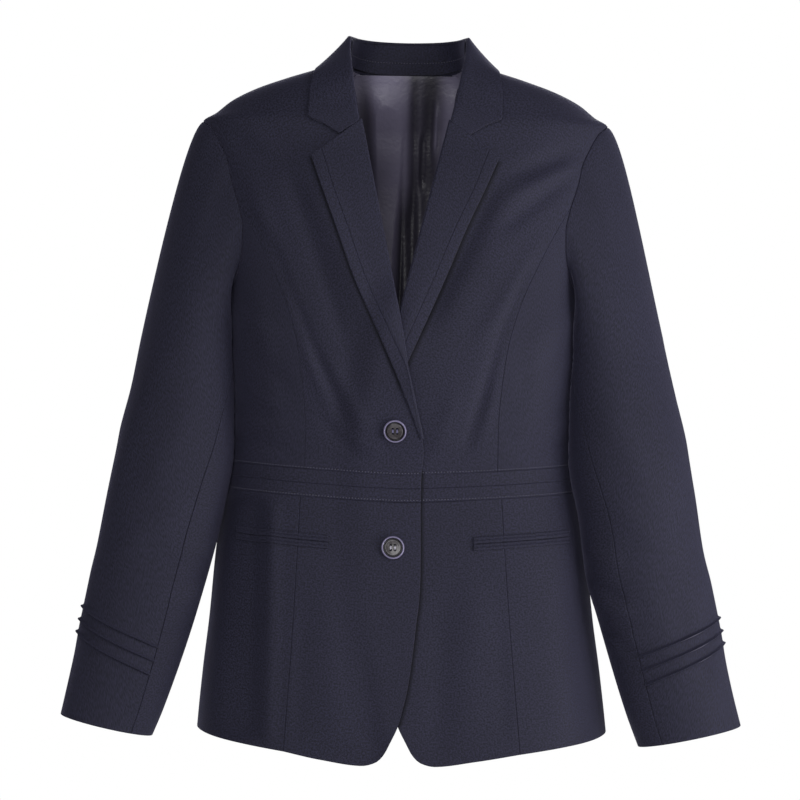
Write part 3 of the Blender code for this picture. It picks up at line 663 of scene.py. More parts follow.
# The side fronts: suiting panels between the princess seam and the side seam, cut away at the front half of
# the armhole. They carry the bust's fullness, so they curve more than the fronts, and are lined behind.
ARMHOLE_FRONT_LOWER = [(158, 130), (153.5, 153), (154, 175), (160, 200), (168, 218), (172, 225)]
SIDE_DRAPES = [
    # side, out and down at both ends, half width, height
    ("both", 166, 232, 112, 262, 8, 1.6),
    ("both", 168, 256, 104, 306, 8, -1.6),
    ("both", 166, 300, 104, 330, 7, 1.2),
    ("both", 168, 336, 98, 345, 7, 1.3),
    ("both", 166, 354, 100, 362, 6, -1.2),
    ("both", 140, 200, 118, 340, 9, 1.2),
]

for name, side in SIDES:
    u, v = fractions(75), fractions(260)
    top, bottom = seam(ARMHOLE_FRONT_LOWER, u), waist(between(PRINCESS[-1][0], waist_side(0), u), 0)
    grid = patch(u, v, top, bottom, seam(PRINCESS, v), side_edge(ARMPIT, BAND_TOP_SIDE, v))
    panel(f"side_front_{name}", sided(grid, side), drapes=SIDE_DRAPES)

# The back: two suiting panels joined by a centre seam, from the collar to the waist insert, lined behind.
# Seams join them to the fronts at the shoulders and to the side fronts below the armholes.
NECK_BACK = [(60, -12), (50, -9), (28, -5), (0, -4)]
ARMHOLE_BACK = [(196, 48), (183, 72), (174, 105), (168, 140), (166, 175), (168, 200), (172, 225)]
NECK_SHARE, BACK_ARMHOLE_SHARE = 0.32, 0.46
BACK_DRAPES = [
    # side, out and down at both ends, half width, height
    ("both", 165, 95, 90, 130, 15, 1.8),
    ("both", 158, 150, 92, 210, 14, -1.7),
    ("both", 150, 215, 70, 262, 13, 1.6),
    ("both", 162, 270, 60, 300, 11, -1.4),
    ("R", 160, 318, 30, 338, 10, 1.6),
    ("L", 164, 300, 24, 326, 11, 1.5),
    ("both", 150, 346, 40, 356, 7, -1.2),
    ("both", 60, 40, 20, 150, 16, 1.1),
]

for name, side in SIDES:
    u = np.unique(np.append(fractions(200), NECK_SHARE))
    v = np.unique(np.append(fractions(390), BACK_ARMHOLE_SHARE))
    top = split_seam(lambda t: seam(NECK_BACK[::-1], t, back=True),
                     lambda t: side_edge(SHOULDER_TOP, SHOULDER_TIP, t), NECK_SHARE, u)
    outer = split_seam(lambda t: seam(ARMHOLE_BACK, t, back=True),
                       lambda t: side_edge(ARMPIT, BAND_TOP_SIDE, t), BACK_ARMHOLE_SHARE, v)
    centre = np.column_stack([0 * v, between(NECK_BACK[-1][1], BAND_TOP_SIDE, v)])
    bottom = waist(between(0, waist_side(0), u), 0, back=True)
    grid = patch(u, v, top, bottom, centre, outer)
    panel(f"back_{name}", sided(grid, side), back=True, drapes=BACK_DRAPES)

# The waist insert: two strips of suiting round the waist, 13 mm deep each, seamed together and into the
# panels. Each strip is a front half on either side, which laps with the fronts, and one length round the
# back.
for place, above in (("upper", 0.0), ("lower", float(STRIP_DEPTH))):
    v = fractions(STRIP_DEPTH, 2)
    depths = above + STRIP_DEPTH * v
    for name, side in SIDES:
        u = fractions(200)
        starts = [float(edge_out(BAND_TOP_SIDE + BAND_DIP + depth, name)) for depth in depths]
        rows = [waist(between(start, waist_side(depth), u), depth) for start, depth in zip(starts, depths)]
        grid = sided(np.array(rows), side)
        lift = overlap_lift(trimmed(grid), name)
        panel(f"waist_{place}_front_{name}", grid, lift=lift)
    u = fractions(420)
    rows = [waist(between(-1, 1, u) * waist_side(depth), depth, back=True) for depth in depths]
    panel(f"waist_{place}_back", np.array(rows), back=True)

# The skirt's fronts: suiting panels below the insert that are cut away in a curve from the lower button to
# the hem. Their edge and hem are turned in and pressed, with suiting behind the edge and lining beyond it.
SKIRT_SEAM = [(95, 406.9), (99, 480), (102.5, 536), (111, 646)]
CORNER_AND_HEM = [(-14, 635), (-21.5, 648.5), (-29, 655), (-41, 658), (-80, 653)]
SKIRT_TOP = BAND_TOP_SIDE + BAND_DIP + 2 * STRIP_DEPTH
HEM_SIDE, HEM_BACK, HEM_TURN, SKIRT_FACING = 633, 640, 38, 60
SKIRT_DRAPES = [
    # side, out and down at both ends, half width, height
    ("both", 70, 470, 62, 655, 16, 1.8),
    ("L", 40, 500, 30, 660, 12, -1.6),
    ("R", 36, 540, 24, 665, 10, -1.3),
    ("both", 96, 500, 98, 650, 8, -1.0),
]

for name, side in SIDES:
    u, v = fractions(110), fractions(240)
    downs = [SKIRT_TOP] + [down for down, _ in FRONT_EDGE if down > SKIRT_TOP]
    inner = seam([(float(edge_out(down, name)), down) for down in downs], v)
    hem = [(-x - EDGE_PAST_MIDDLE[name], down) for x, down in CORNER_AND_HEM] + [SKIRT_SEAM[-1]]
    start = float(edge_out(SKIRT_TOP, name))
    top = waist(between(start, SKIRT_SEAM[0][0], u), 2 * STRIP_DEPTH)
    grid = sided(patch(u, v, top, seam(hem, u), inner, seam(SKIRT_SEAM, v)), side)
    panel(f"skirt_front_{name}", grid, lift=overlap_lift(trimmed(grid), name),
          drapes=SKIRT_DRAPES, satin=lambda d: (d[2] > SKIRT_FACING) & (d[1] > HEM_TURN))

# The skirt's sides and back: suiting panels that flare over the hips, with a turned hem 38 mm deep and
# lining above it. The two back panels meet in a centre seam below that of the back.
HEM_FRONT = [(111, 646), (150, 640.5), (185, 635.5), (198, 633)]
SIDE_SKIRT_DRAPES = [
    # side, out and down at both ends, half width, height
    ("R", 119, 360, 126, 740, 7, 2.4),
    ("R", 138, 350, 146, 740, 10, -4.0),
    ("R", 152, 350, 162, 740, 16, -6.0),
    ("L", 140, 470, 152, 650, 15, 1.6),
    ("L", 168, 440, 182, 650, 12, -1.5),
    ("both", 109, 560, 113, 660, 6, -0.6),
]
BACK_SKIRT_DRAPES = [
    # side, out and down at both ends, half width, height
    ("both", 40, 470, 44, 660, 20, 2.4),
    ("both", 95, 450, 104, 660, 16, -2.1),
    ("R", 150, 440, 165, 660, 16, 2.2),
    ("L", 140, 440, 150, 660, 14, 1.8),
]

for name, side in SIDES:
    u, v, low = fractions(100), fractions(235), 2 * STRIP_DEPTH
    side_line = side_edge(BAND_TOP_SIDE + low, HEM_SIDE, v)
    top = waist(between(SKIRT_SEAM[0][0], waist_side(low), u), low)
    grid = patch(u, v, top, seam(HEM_FRONT, u), seam(SKIRT_SEAM, v), side_line)
    panel(f"skirt_side_{name}", sided(grid, side), drapes=SIDE_SKIRT_DRAPES,
          satin=lambda d: d[1] > HEM_TURN)
    u = fractions(210)
    hem_down = between(HEM_BACK, HEM_SIDE, u**2)
    hem = spread_of(u * smooth(hem_down, SECTIONS, 1), hem_down)
    centre = np.column_stack([0 * v, between(BAND_TOP_SIDE + low, HEM_BACK, v)])
    grid = patch(u, v, waist(u * waist_side(low), low, back=True), hem, centre, side_line)
    panel(f"skirt_back_{name}", sided(grid, side), back=True, drapes=BACK_SKIRT_DRAPES,
          satin=lambda d: d[1] > HEM_TURN)

# The lapels: two layers of suiting that fold out of the fronts along the roll line, from the collar's seam
# to the upper button. The main piece carries the fold, and a narrow band is seamed round its outer edge.
GORGE = [(42, 51), (61, 65)]
LAPEL_BAND, BAND_TOP, BAND_MEETS_ROLL = 11, (79, 78.6), 291
LAPEL_WALL, LAPEL_CLEARANCE, LAPEL_SWELL, TIP_LIFT = 1.9, 1.1, 1.2, 1.6
LAPEL_SETTLES, TIP_FROM, TIP_FADES, BODY_SHARE = (300, 338), 0.45, (110, 240), 0.75
LAPEL_ROLL_ROWS, LAPEL_LOW_ROWS = (51, 110, 180, 240, 298), (306, 322)
ROLL_BEHIND, SLIVER = 0.3, 1.0


def lapel_height(flat, distance_in, name):
    """The lapel stands off by its own thickness, and a little more in mid width and at its free tip."""
    down = flat[..., 1]
    settle = 1 - step(*LAPEL_SETTLES, down)
    swell = LAPEL_SWELL * np.sin(math.pi * np.clip(distance_in, 0, 1)) * settle
    tip = TIP_LIFT * step(TIP_FROM, 1, distance_in) * (1 - step(*TIP_FADES, down))
    out = np.abs(body_at(flat)[..., 0] - centre_line(down))
    under = folds(out, down, FRONT_DRAPES, name) * step(0, FOLD_FADE, out - roll_line(down, name))
    stands = LAPEL_CLEARANCE * settle + LAPEL_WALL + swell + tip
    return stands + overlap_lift(flat, name) + np.clip(under, 0, None)


def round_fold(centre, normal, away, start, radii):
    """For each radius, points round a fold in steps of 15 degrees, from this angle to the face's own."""
    spokes = [normal * math.cos(t) + away * math.sin(t) for t in np.radians(np.arange(start, 0, -15))]
    return [[centre + spoke * radius for spoke in spokes] for radius in radii]


def rolled(face, normal, radius):
    """Columns added before the first one, which carry both faces of the lapel round its fold."""
    away = unit(face[:, 0] - face[:, 4])
    away = unit(away - normal * np.sum(away * normal, axis=-1, keepdims=True))
    sides = round_fold(face[:, 0] - normal * radius, normal, away, 165, (radius, radius - LAPEL_WALL))
    return [np.stack(columns, axis=1) for columns in sides]


for name, side in SIDES:
    u, v, w = fractions(40, 3), fractions(290, 3), fractions(LAPEL_BAND, 1.6)
    edge_rows = LAPEL_EDGE[name]
    foot = edge_rows[-1][1]
    roll = seam([(roll_line(down, name), down) for down in LAPEL_ROLL_ROWS + (foot,)], v)
    outer_edge = seam(edge_rows, v)
    inside = [BAND_TOP]
    inside += [(out - LAPEL_BAND, down) for out, down in edge_rows[1:] if down < BAND_MEETS_ROLL]
    inside += [(roll_line(down, name) + SLIVER, down) for down in LAPEL_LOW_ROWS + (foot,)]
    band_seam = seam(inside, v)
    bottom = between(roll[-1], band_seam[-1], u[:, None])
    body = patch(u, v, seam(GORGE + [BAND_TOP], u), bottom, roll, band_seam)
    band_ends = (between(band_seam[i], outer_edge[i], w[:, None]) for i in (0, -1))
    band = patch(w, v, *band_ends, band_seam, outer_edge)
    for piece_name, grid, share in (
        (f"lapel_{name}", body, BODY_SHARE * u[None, :]),
        (f"lapel_band_{name}", band, BODY_SHARE + (1 - BODY_SHARE) * w[None, :]),
    ):
        flat = trimmed(sided(grid, side))
        points, normal = on_body(flat)
        height = lapel_height(flat, share + 0 * flat[..., 0], name)
        distances = edge_distances(points)
        rolling = "band" not in piece_name
        nearest = np.minimum.reduce(distances[:2] + distances[2 + rolling:])
        outer = raised(points, normal, height - pressed_down(nearest))
        inner = raised(points, normal, height - LAPEL_WALL)
        if rolling:
            radius = (height[:, :1] - overlap_lift(flat, name)[:, :1] + WALL + ROLL_BEHIND) / 2
            turned = rolled(raised(points, normal, height), normal[:, 0], radius)
            outer, inner = (np.concatenate(pair, axis=1) for pair in zip(turned, (outer, inner)))
        cloth_piece(piece_name, outer, inner)

# The collar: a fall of suiting folded over a stand. The fall turns over at the neck's top and lies on the
# shoulders; the stand is its inner face, sewn to the neck seam, with a row of stitches along its upper
# part.
COLLAR = np.array([
    # station, fold x, fold y, fold z, edge x, edge y, edge z
    (0, 42.5, -71.5, -51, 61.5, -74, -64),
    (1, 45.5, -67, -38, 78, -71, -54),
    (2, 47.5, -62.5, -28, 92, -67.5, -46),
    (3, 51.5, -52, -4, 91.5, -57, -24),
    (4, 55, -30, 19, 88.5, -41, -4),
    (5, 56, -6, 36, 85, 0, 4),
    (6, 50, 28, 38, 76, 42, 0),
    (7, 28, 53, 38, 44, 63, -8),
    (8, 0, 60, 38, 0, 65, -11),
], float)
COLLAR_WALL, COLLAR_HALF_GAP, FOLD_RADIUS, FOLD_GAP = 2.0, 0.3, 2.4, 0.3
COLLAR_SWELL = [(0, 0), (2.5, 0), (4, -0.5), (6, -0.5), (7, 0.5), (8, 1.5)]
STAND_FRONT, STAND_SIDE, STAND_LIFT, STAND_FOOT = 3.3, 5, 0.5, [(54, 9), (59, 0), (60, -12)]
NECK_LEANS = (-60, 40), (-2, 3)


def collar_curves(stations):
    """The fold and the outer edge. A mirrored row past the centre back lets them cross it level."""
    beyond = COLLAR[-2] * (1, -1, 1, 1, -1, 1, 1) + (2, 0, 0, 0, 0, 0, 0)
    read = [smooth(stations, np.vstack([COLLAR, beyond]), i) for i in range(1, 7)]
    return np.stack(read[:3], axis=-1), np.stack(read[3:], axis=-1)


def whole_collar(half):
    """Both halves of a grid from the front to the centre back. The top leans a little to the left."""
    whole = np.concatenate([half, half[:, -2::-1] * (-1, 1, 1)], axis=1)
    whole[..., 0] += np.interp(whole[..., 2], *NECK_LEANS)
    return whole


def grid_normals(points):
    """The cross product of central differences along the rows and the columns."""
    return unit(np.cross(np.gradient(points, axis=0), np.gradient(points, axis=1)))


def away_from_neck(grid):
    normals = grid_normals(grid)
    away = np.sum(normals * (grid - grid.mean(axis=(0, 1))), axis=-1).mean()
    return normals * np.sign(away)


ends = np.linspace(0, 2, 31), np.linspace(2, 8, 71)
stations = np.unique(np.concatenate([*ends, (0.02, 0.05, 1.96, 2.04)]))
fold, edge = collar_curves(stations)
v = fractions(46, 2.5)[:, None, None]
fall = whole_collar((1 - v) * fold + v * edge)
swell = smooth(stations, COLLAR_SWELL)
bulge = np.sin(math.pi * v[..., 0] ** 0.8) * np.concatenate([swell, swell[-2::-1]])
normals = away_from_neck(fall)
distances = edge_distances(fall)
down_by = pressed_down(np.minimum.reduce(distances[1:]))
outer = raised(fall, normals, COLLAR_HALF_GAP + COLLAR_WALL + bulge - down_by)
inner = raised(fall, normals, COLLAR_HALF_GAP + bulge)
up = unit(fall[0] - fall[3])
radii = FOLD_RADIUS, FOLD_RADIUS - COLLAR_WALL + FOLD_GAP
over, under = round_fold(fall[0] - up * FOLD_RADIUS, normals[0], up, 180, radii)
low = int(np.argmax(distances[0][:, 0] > FOLD_RADIUS + 0.5))
outer, inner = np.concatenate([over, outer[low:]]), np.concatenate([under, inner[low:]])
cloth_piece("collar_fall", outer, inner)

front_foot = seam(STAND_FOOT, np.linspace(0, 1, 31))
back_foot = seam(NECK_BACK, np.linspace(0, 1, 61), back=True)
foot = np.concatenate([body_at(front_foot)[:-1], body_at(back_foot, True)]) + (0, 0, STAND_LIFT)
places = np.concatenate([np.linspace(STAND_FRONT, STAND_SIDE, 31)[:-1], np.linspace(STAND_SIDE, 8, 61)])
v = fractions(36, 2.5)[:, None, None]
stand = whole_collar((1 - v) * (collar_curves(places)[0] - (0, 0, FOLD_RADIUS)) + v * foot)
stand_normals = away_from_neck(stand)
stand_face = stand - stand_normals * (COLLAR_HALF_GAP + WALL)
cloth_piece("collar_stand", stand_face, stand - stand_normals * COLLAR_HALF_GAP)

# The sleeves: two suiting pieces each, a wide top sleeve and a narrow under sleeve, seamed down the front
# and the back of the arm, eased into the armhole and lined. Three tucks are stitched across the top sleeve
# above the cuff.
SLEEVE = {
    # down, centre out, half width, half depth, centre y
    "R": np.array([
        (226, 200.5, 42.5, 62, -7),
        (262, 204.6, 46.6, 58, -13),
        (319, 210.5, 51, 53, -24),
        (365, 216, 55.5, 49, -32),
        (412, 224.5, 55.5, 45, -38),
        (505, 245.6, 52.2, 40, -46),
        (598, 271.4, 46.8, 35, -51),
        (640, 285, 43, 33, -53),
    ], float),
    "L": np.array([
        (226, 201.5, 44, 62, -7),
        (262, 204.5, 47, 58, -13),
        (319, 211.5, 52.5, 53, -24),
        (371, 218, 57.5, 48.5, -33),
        (412, 225.5, 56.5, 45, -38),
        (470, 233, 57, 42, -43),
        (505, 241.4, 55.6, 40, -46),
        (598, 264.3, 51.4, 35, -51),
        (640, 277, 49, 33, -53),
    ], float),
}
SLEEVE_TURN, SLEEVE_TILT, SLEEVE_CLEARANCE = math.radians(12), 0.22, 1.6
CAP_END, LOOP, LOOP_START, TOP_COLUMNS = 262, 20, 6, 15
CUFF = {"R": 628.5, "L": 631.5}
CAP_TOP_DOWN, CAP_TOP_LEAVES, CAP_LOW_LEAVES = 150, np.array([15, 0, -6]), np.array([7.5, 0, 0])
CAP_ARRIVES, CAP_ARRIVES_SHARE, CAP_ARRIVES_INWARD, CAP_CLEARS = 80, 0.4, 0.2, 0.25
FRONT_SEAM_ANGLE = [(225, 162), (269, 148), (330, 127), (388, 115), (455, 110), (552, 113), (640, 117)]
BACK_SEAM_ANGLE, TUCK_TURN, CUFF_LINING = -105, 115, 38
TUCKS = [
    # distance from the cuff at the sleeve's outer edge, and at its front seam
    (102, 83),
    (90, 70),
    (78.5, 57),
]
TUCK_PROFILE = [
    # along the sleeve from the tuck's middle, and the height
    (-2.6, 0), (-1.6, 0.2), (-0.9, 0.8), (-0.4, 1.6), (0.0, 2.4), (0.4, 2.7), (0.8, 2.45), (0.95, 1.7),
    (0.8, 0.8), (0.75, 0.1), (1.1, -0.25), (1.9, -0.1), (2.8, 0),
]
UNDER_SLEEVE_PROFILE = [(-2.6, 0), (0, 0), (2.8, 0)]
TUCK_ROOM, ARM_ROWS, CUFF_ROWS = 6, 66, 20
CUFF_CLOSE_ROWS = 1 - np.array([1.5, 0.9, 0.5, 0.2, 0]) / 60
SLEEVE_DRAPES = [
    # side, degrees and down at both ends, half width, height
    ("both", 165, 440, 100, 462, 8, 2.0),
    ("both", 160, 466, 104, 500, 7, -2.0),
    ("L", 165, 494, 100, 506, 7, 2.4),
    ("R", 165, 484, 112, 506, 7, 1.9),
    ("both", 160, 516, 112, 545, 7, -1.6),
    ("L", 166, 534, 100, 528, 6, 1.8),
    ("both", 100, 300, 60, 420, 16, 1.5),
    ("L", 60, 260, 30, 420, 16, 1.9),
    ("R", 50, 260, 20, 420, 18, 1.5),
    ("both", -20, 280, -60, 430, 18, -1.5),
    ("both", 110, 405, 40, 470, 12, 1.5),
    ("L", 90, 560, 20, 590, 14, 1.1),
    ("both", -100, 470, -150, 500, 10, 1.6),
    ("both", -90, 510, -150, 525, 9, -1.4),
    ("both", 0, 470, -10, 570, 20, 1.4),
    ("L", 70, 480, 40, 600, 14, -1.4),
]


def clear_of_body(points, clearance):
    """Points moved straight out from the body's axis to stand at least this far off it."""
    down, y = -points[..., 2], points[..., 1]
    x = points[..., 0] - centre_line(down)
    half = smooth(down, SECTIONS, 1)
    depth = np.where(y < 0, smooth(down, SECTIONS, 2), smooth(down, SECTIONS, 3))
    squared = depth
    for _ in range(5):
        phi = np.arctan2(np.abs(x) / half, np.abs(y) / squared)
        squared = depth * (1 + squareness(down) * np.sin(phi) ** 2)
    wanted = 1 + clearance / np.minimum(np.hypot(x, y), half)
    grow = np.maximum(1, wanted / np.hypot(x / half, y / squared))
    return np.stack([centre_line(down) + x * grow, y * grow, points[..., 2]], axis=-1)


def sleeve_ring(down, degrees, name, side):
    """A sleeve section: an ellipse turned about Z, its outer side the higher, with 90 degrees in front."""
    theta = np.radians(degrees)
    out, half, depth, middle = (smooth(down, SLEEVE[name], i) for i in (1, 2, 3, 4))
    wide, deep = half * np.cos(theta), -depth * np.sin(theta)
    across = wide * math.cos(SLEEVE_TURN) + deep * math.sin(SLEEVE_TURN)
    y = middle + deep * math.cos(SLEEVE_TURN) - wide * math.sin(SLEEVE_TURN) * 0.5
    x = centre_line(down) + side * (out + across)
    return np.stack([x, y, -down + SLEEVE_TILT * across], axis=-1)


def armhole_at(place, side):
    """The armhole at places from 0 to LOOP: from the shoulder tip down the front and up behind."""
    quarter = LOOP / 4
    upper = seam(ARMHOLE_FRONT_UPPER, np.clip(place / quarter, 0, 1))
    lower = seam(ARMHOLE_FRONT_LOWER, np.clip(place / quarter - 1, 0, 1))
    back = seam(ARMHOLE_BACK, np.clip((LOOP - place) / (2 * quarter), 0, 1), back=True)
    front = sided(np.where((place < quarter)[:, None], upper, lower), side)
    return np.where((place < 2 * quarter)[:, None], body_at(front), body_at(sided(back, side), True))


def sleeve_angles(down, columns):
    """Degrees of the columns: the top sleeve's from the back seam to the front one, then the rest."""
    front = smooth(down, FRONT_SEAM_ANGLE)
    top = BACK_SEAM_ANGLE + (front - BACK_SEAM_ANGLE) * columns / TOP_COLUMNS
    under = front + (360 + BACK_SEAM_ANGLE - front) * (columns - TOP_COLUMNS) / (LOOP - TOP_COLUMNS)
    return np.where(columns <= TOP_COLUMNS, top, under)


def sleeve_grid(columns, name, side, profile):
    """Rows from the armhole to the cuff: a cubic down to the first ring, then rings down the arm."""
    loop = armhole_at((columns - LOOP_START) % LOOP, side)
    angles = sleeve_angles(CAP_END, columns)
    start = sleeve_ring(CAP_END, angles, name, side)
    leave = loop + np.where(loop[:, 2:] > -CAP_TOP_DOWN, CAP_TOP_LEAVES, CAP_LOW_LEAVES) * (side, 1, 1)
    drop = (loop[:, 2] - start[:, 2])[:, None]
    lean = (sleeve_ring(CAP_END - 1, angles, name, side) - start)[:, 1]
    onward = np.stack([0 * lean - side * CAP_ARRIVES_INWARD, lean, 0 * lean + 1], axis=-1)
    arrive = start + np.clip(drop * CAP_ARRIVES_SHARE, 0, CAP_ARRIVES) * onward
    rows, heights = [], []
    for t in fractions(170)[:-6]:
        early = (1 - t) ** 3 * loop + 3 * t * (1 - t) ** 2 * leave
        row = early + 3 * t * t * (1 - t) * arrive + t**3 * start
        rows.append(clear_of_body(row, SLEEVE_CLEARANCE * min(1, t / CAP_CLEARS)) if t else row)
        heights.append(0 * columns)
    soft = list(heights)
    cuff = CUFF[name]
    share = np.clip(1 - np.abs(sleeve_angles(cuff, columns)) / TUCK_TURN, 0, 1)
    middles = [cuff - inner - (outer - inner) * share for outer, inner in TUCKS]
    above, below = middles[0] - TUCK_ROOM, middles[-1] + TUCK_ROOM
    places = [CAP_END + (above - CAP_END) * t for t in np.linspace(0, 1, ARM_ROWS)]
    lifts = [0.0] * ARM_ROWS
    for middle in middles:
        places += [middle + along for along, _ in profile]
        lifts += [height for _, height in profile]
    last = np.sort(np.append(np.linspace(0, 1, CUFF_ROWS)[:-1], CUFF_CLOSE_ROWS))
    places += [below + (cuff - below) * t for t in last]
    lifts += [0.0] * len(last)
    for down, lift in zip(places, lifts):
        degrees = sleeve_angles(down, columns)
        rows.append(clear_of_body(sleeve_ring(down, degrees, name, side), SLEEVE_CLEARANCE))
        heights.append(lift + 0 * degrees)
        soft.append(folds(degrees, down + 0 * degrees, SLEEVE_DRAPES, name))
    return np.array(rows), np.array(heights), np.array(soft)


def outward_normals(grid):
    normals = grid_normals(grid)
    middle = grid.mean(axis=1, keepdims=True)
    return normals * np.sign(np.sum(normals * (grid - middle), axis=-1).mean())


top_columns = fractions(240) * TOP_COLUMNS
under_columns = TOP_COLUMNS + fractions(90) * (LOOP - TOP_COLUMNS)
for name, side in SIDES:
    for place, columns, profile in (("top", top_columns, TUCK_PROFILE),
                                    ("under", under_columns, UNDER_SLEEVE_PROFILE)):
        grid, heights, soft = sleeve_grid(columns, name, side, profile)
        normals = outward_normals(grid)
        grid += normals * soft[..., None]
        distances = edge_distances(grid)
        outer = raised(grid, normals, heights - pressed_down(np.minimum.reduce(distances)))
        cloth_piece(f"{place}_sleeve_{name}", outer, grid - normals * WALL,
                    distances[1] > CUFF_LINING)

# The pockets: jetted, with two narrow strips of suiting each, one over and one under the slit. They are
# sewn flat across the skirt seam, and the slit stays pressed shut.
POCKET_INNER, POCKET_OUTER = (68, 450), (160, 443)
WELT_DEPTH, WELT_GAP, WELT_WALL, WELT_CLEARANCE, WELT_ROLL = 6, 0.5, 1.2, 0.5, 0.8
WELT_CROSSES = 97.4

for name, side in SIDES:
    for place, sign in (("upper", -1), ("lower", 1)):
        u, v = fractions(92, 2), fractions(WELT_DEPTH, 1)
        out = between(POCKET_INNER[0], POCKET_OUTER[0], u)
        middle = between(POCKET_INNER[1], POCKET_OUTER[1], u)
        down = middle + sign * (WELT_GAP / 2 + WELT_DEPTH * v[:, None])
        points, normal = on_body(sided(spread_of(out + 0 * down, down), side))
        nearest = np.minimum.reduce(edge_distances(points))
        side_soft, front_soft = (folds(out, down, rows, name) for rows in (SIDE_SKIRT_DRAPES, SKIRT_DRAPES))
        seam_fade = step(0, FOLD_FADE, np.abs(out - WELT_CROSSES))
        soft = np.where(out > WELT_CROSSES, side_soft, front_soft) * seam_fade
        height = soft + WELT_CLEARANCE + WELT_WALL - pressed_down(nearest, WELT_ROLL)
        inner = raised(points, normal, soft + WELT_CLEARANCE / 2)
        cloth_piece(f"welt_{place}_{name}", raised(points, normal, height), inner)

# The back lining: dark grey satin that shows in the neck, cut a little wide and pleated down the centre
# back so that it can give. It is sewn to the neck seam and hangs against the back.
LINING_SIDE = [(50, -6), (80, 18), (104, 60), (110, 150), (110, 330)]
LINING_TOP, LINING_WALL = -5, 1.0
LINING_CLEARANCE = [(-10, 1.0), (5, 1.1), (110, 1.1), (330, 1.1)]
LINING_DRAPES = [
    # side, out and down at both ends, half width, height towards the neck's opening
    ("both", -16, -120, -24, 400, 15, 5.0),
    ("both", -2, 50, -5, 330, 2.2, -2.0),
    ("both", 8, -120, 9, 300, 5, -4.0),
    ("both", 4, 100, -8, 260, 10, -5.0),
    ("both", 25, -120, 22, 400, 11, -6.0),
    ("both", 18, 48, 17, 105, 2.6, -4.0),
    ("both", 31, 15, 29, 75, 2.4, 3.5),
    ("both", 46, -120, 42, 400, 9, 1.5),
    ("both", -44, -20, -30, 190, 9, -5.0),
]
LINING_LOOSE, LINING_FADE, LINING_REACH = 6.5, 45, (-0.8, 8)

u, v = fractions(220, 1.3), fractions(330, 3)
side_line = seam(LINING_SIDE, v, back=True)
share = 2 * u - 1
top = spread_of(share * LINING_SIDE[0][0], LINING_TOP + (LINING_SIDE[0][1] - LINING_TOP) * share**2)
bottom = spread_of(share * LINING_SIDE[-1][0], LINING_SIDE[-1][1] + 0 * share)
flat = patch(u, v, top, bottom, side_line * (-1, 1), side_line)
points, normal = on_body(flat, True)
x = points[..., 0] - centre_line(flat[..., 1])
loose = LINING_LOOSE + folds(x, flat[..., 1], LINING_DRAPES, "both")
soft = np.clip(loose * step(0, LINING_FADE, edge_distances(points)[0]), *LINING_REACH)
face = -WALL - smooth(flat[..., 1], LINING_CLEARANCE) - LINING_WALL - soft
outer, inner = raised(points, normal, face), raised(points, normal, face + LINING_WALL)
lining = cloth_piece("back_lining", outer, inner, slot="lining")
# The folds' heights, from which the satin paints light on the crests and shade in the troughs.
point_values(lining.data, "lift", np.tile(loose.ravel() - LINING_LOOSE, 2))

# The stitching: rows of short stitches in a lighter navy thread, sewn through all layers. One runs along
# the bodice just above the waist insert, one along the insert's lower edge, and one across the collar's
# stand.
STITCH_PITCH, STITCH_LENGTH, STITCH_WIDE, STITCH_STANDS = 2.9, 1.35, 0.38, 0.25
TIP_AREA, THREAD_FLATNESS = 0.03, 0.7
STITCH_ABOVE_TOP, STITCH_ABOVE_BOTTOM, STAND_STITCH = -1.7, 24.2, 12.5
THREAD_BLUE = (0.072, 0.068, 0.115, 1)


def thread_material(name, colour):
    """Twisted thread: a soft sheen, and fine diagonal plies from the object's own coordinates."""
    made, tree, shader = new_material(name)
    place = wired(tree, "ShaderNodeTexCoord", {})["Object"]
    plies = wired(tree, "ShaderNodeTexWave", {"Vector": place, "Scale": 900}, bands_direction="DIAGONAL")
    colour = mixed(tree, plies["Fac"], shaded(colour, 0.75), shaded(colour, 1.2))
    tree.links.new(colour, shader.inputs["Base Color"])
    shader.inputs["Roughness"].default_value = 0.6
    shader.inputs["Sheen Weight"].default_value = 0.3
    return made


def ring_quads(rows, columns, first=0):
    """Quads of a tube whose points are numbered ring by ring."""
    number = first + np.arange(rows * columns).reshape(rows, columns)
    return grid_quads(np.append(number, number[:, :1], axis=1))


def capsules(name, starts, ends, normals, wide, high, material):
    """Short threads as closed tubes whose radius follows half a sine, bedded in the cloth at both ends."""
    along, turn = np.linspace(0, 1, 7), np.linspace(0, math.tau, 7)[:-1]
    swell = np.sqrt(np.sin(math.pi * along) * (1 - TIP_AREA) + TIP_AREA)[:, None]
    across = unit(np.cross(ends - starts, normals))
    line = starts[:, None] + (ends - starts)[:, None] * along[None, :, None]
    rise = normals[:, None] * (np.sin(math.pi * along) * high)[None, :, None]
    spoke_out = (np.cos(turn) * wide * swell)[None, ..., None] * across[:, None, None]
    spoke_up = (np.sin(turn) * wide * THREAD_FLATNESS * swell)[None, ..., None] * normals[:, None, None]
    points = (line + rise)[:, :, None] + spoke_out + spoke_up
    count, ring = len(along) * len(turn), np.arange(len(turn))
    shift = np.arange(len(starts)) * count
    faces = (ring_quads(len(along), len(turn))[None] + shift[:, None, None]).reshape(-1, 4).tolist()
    for cap in (ring, count - 1 - ring):
        faces += (cap[None] + shift[:, None]).tolist()
    mesh = bpy.data.meshes.new(name)
    mesh.from_pydata((hang(points.reshape(-1, 3)) * MM).tolist(), [], faces)
    riding(name, mesh, material)


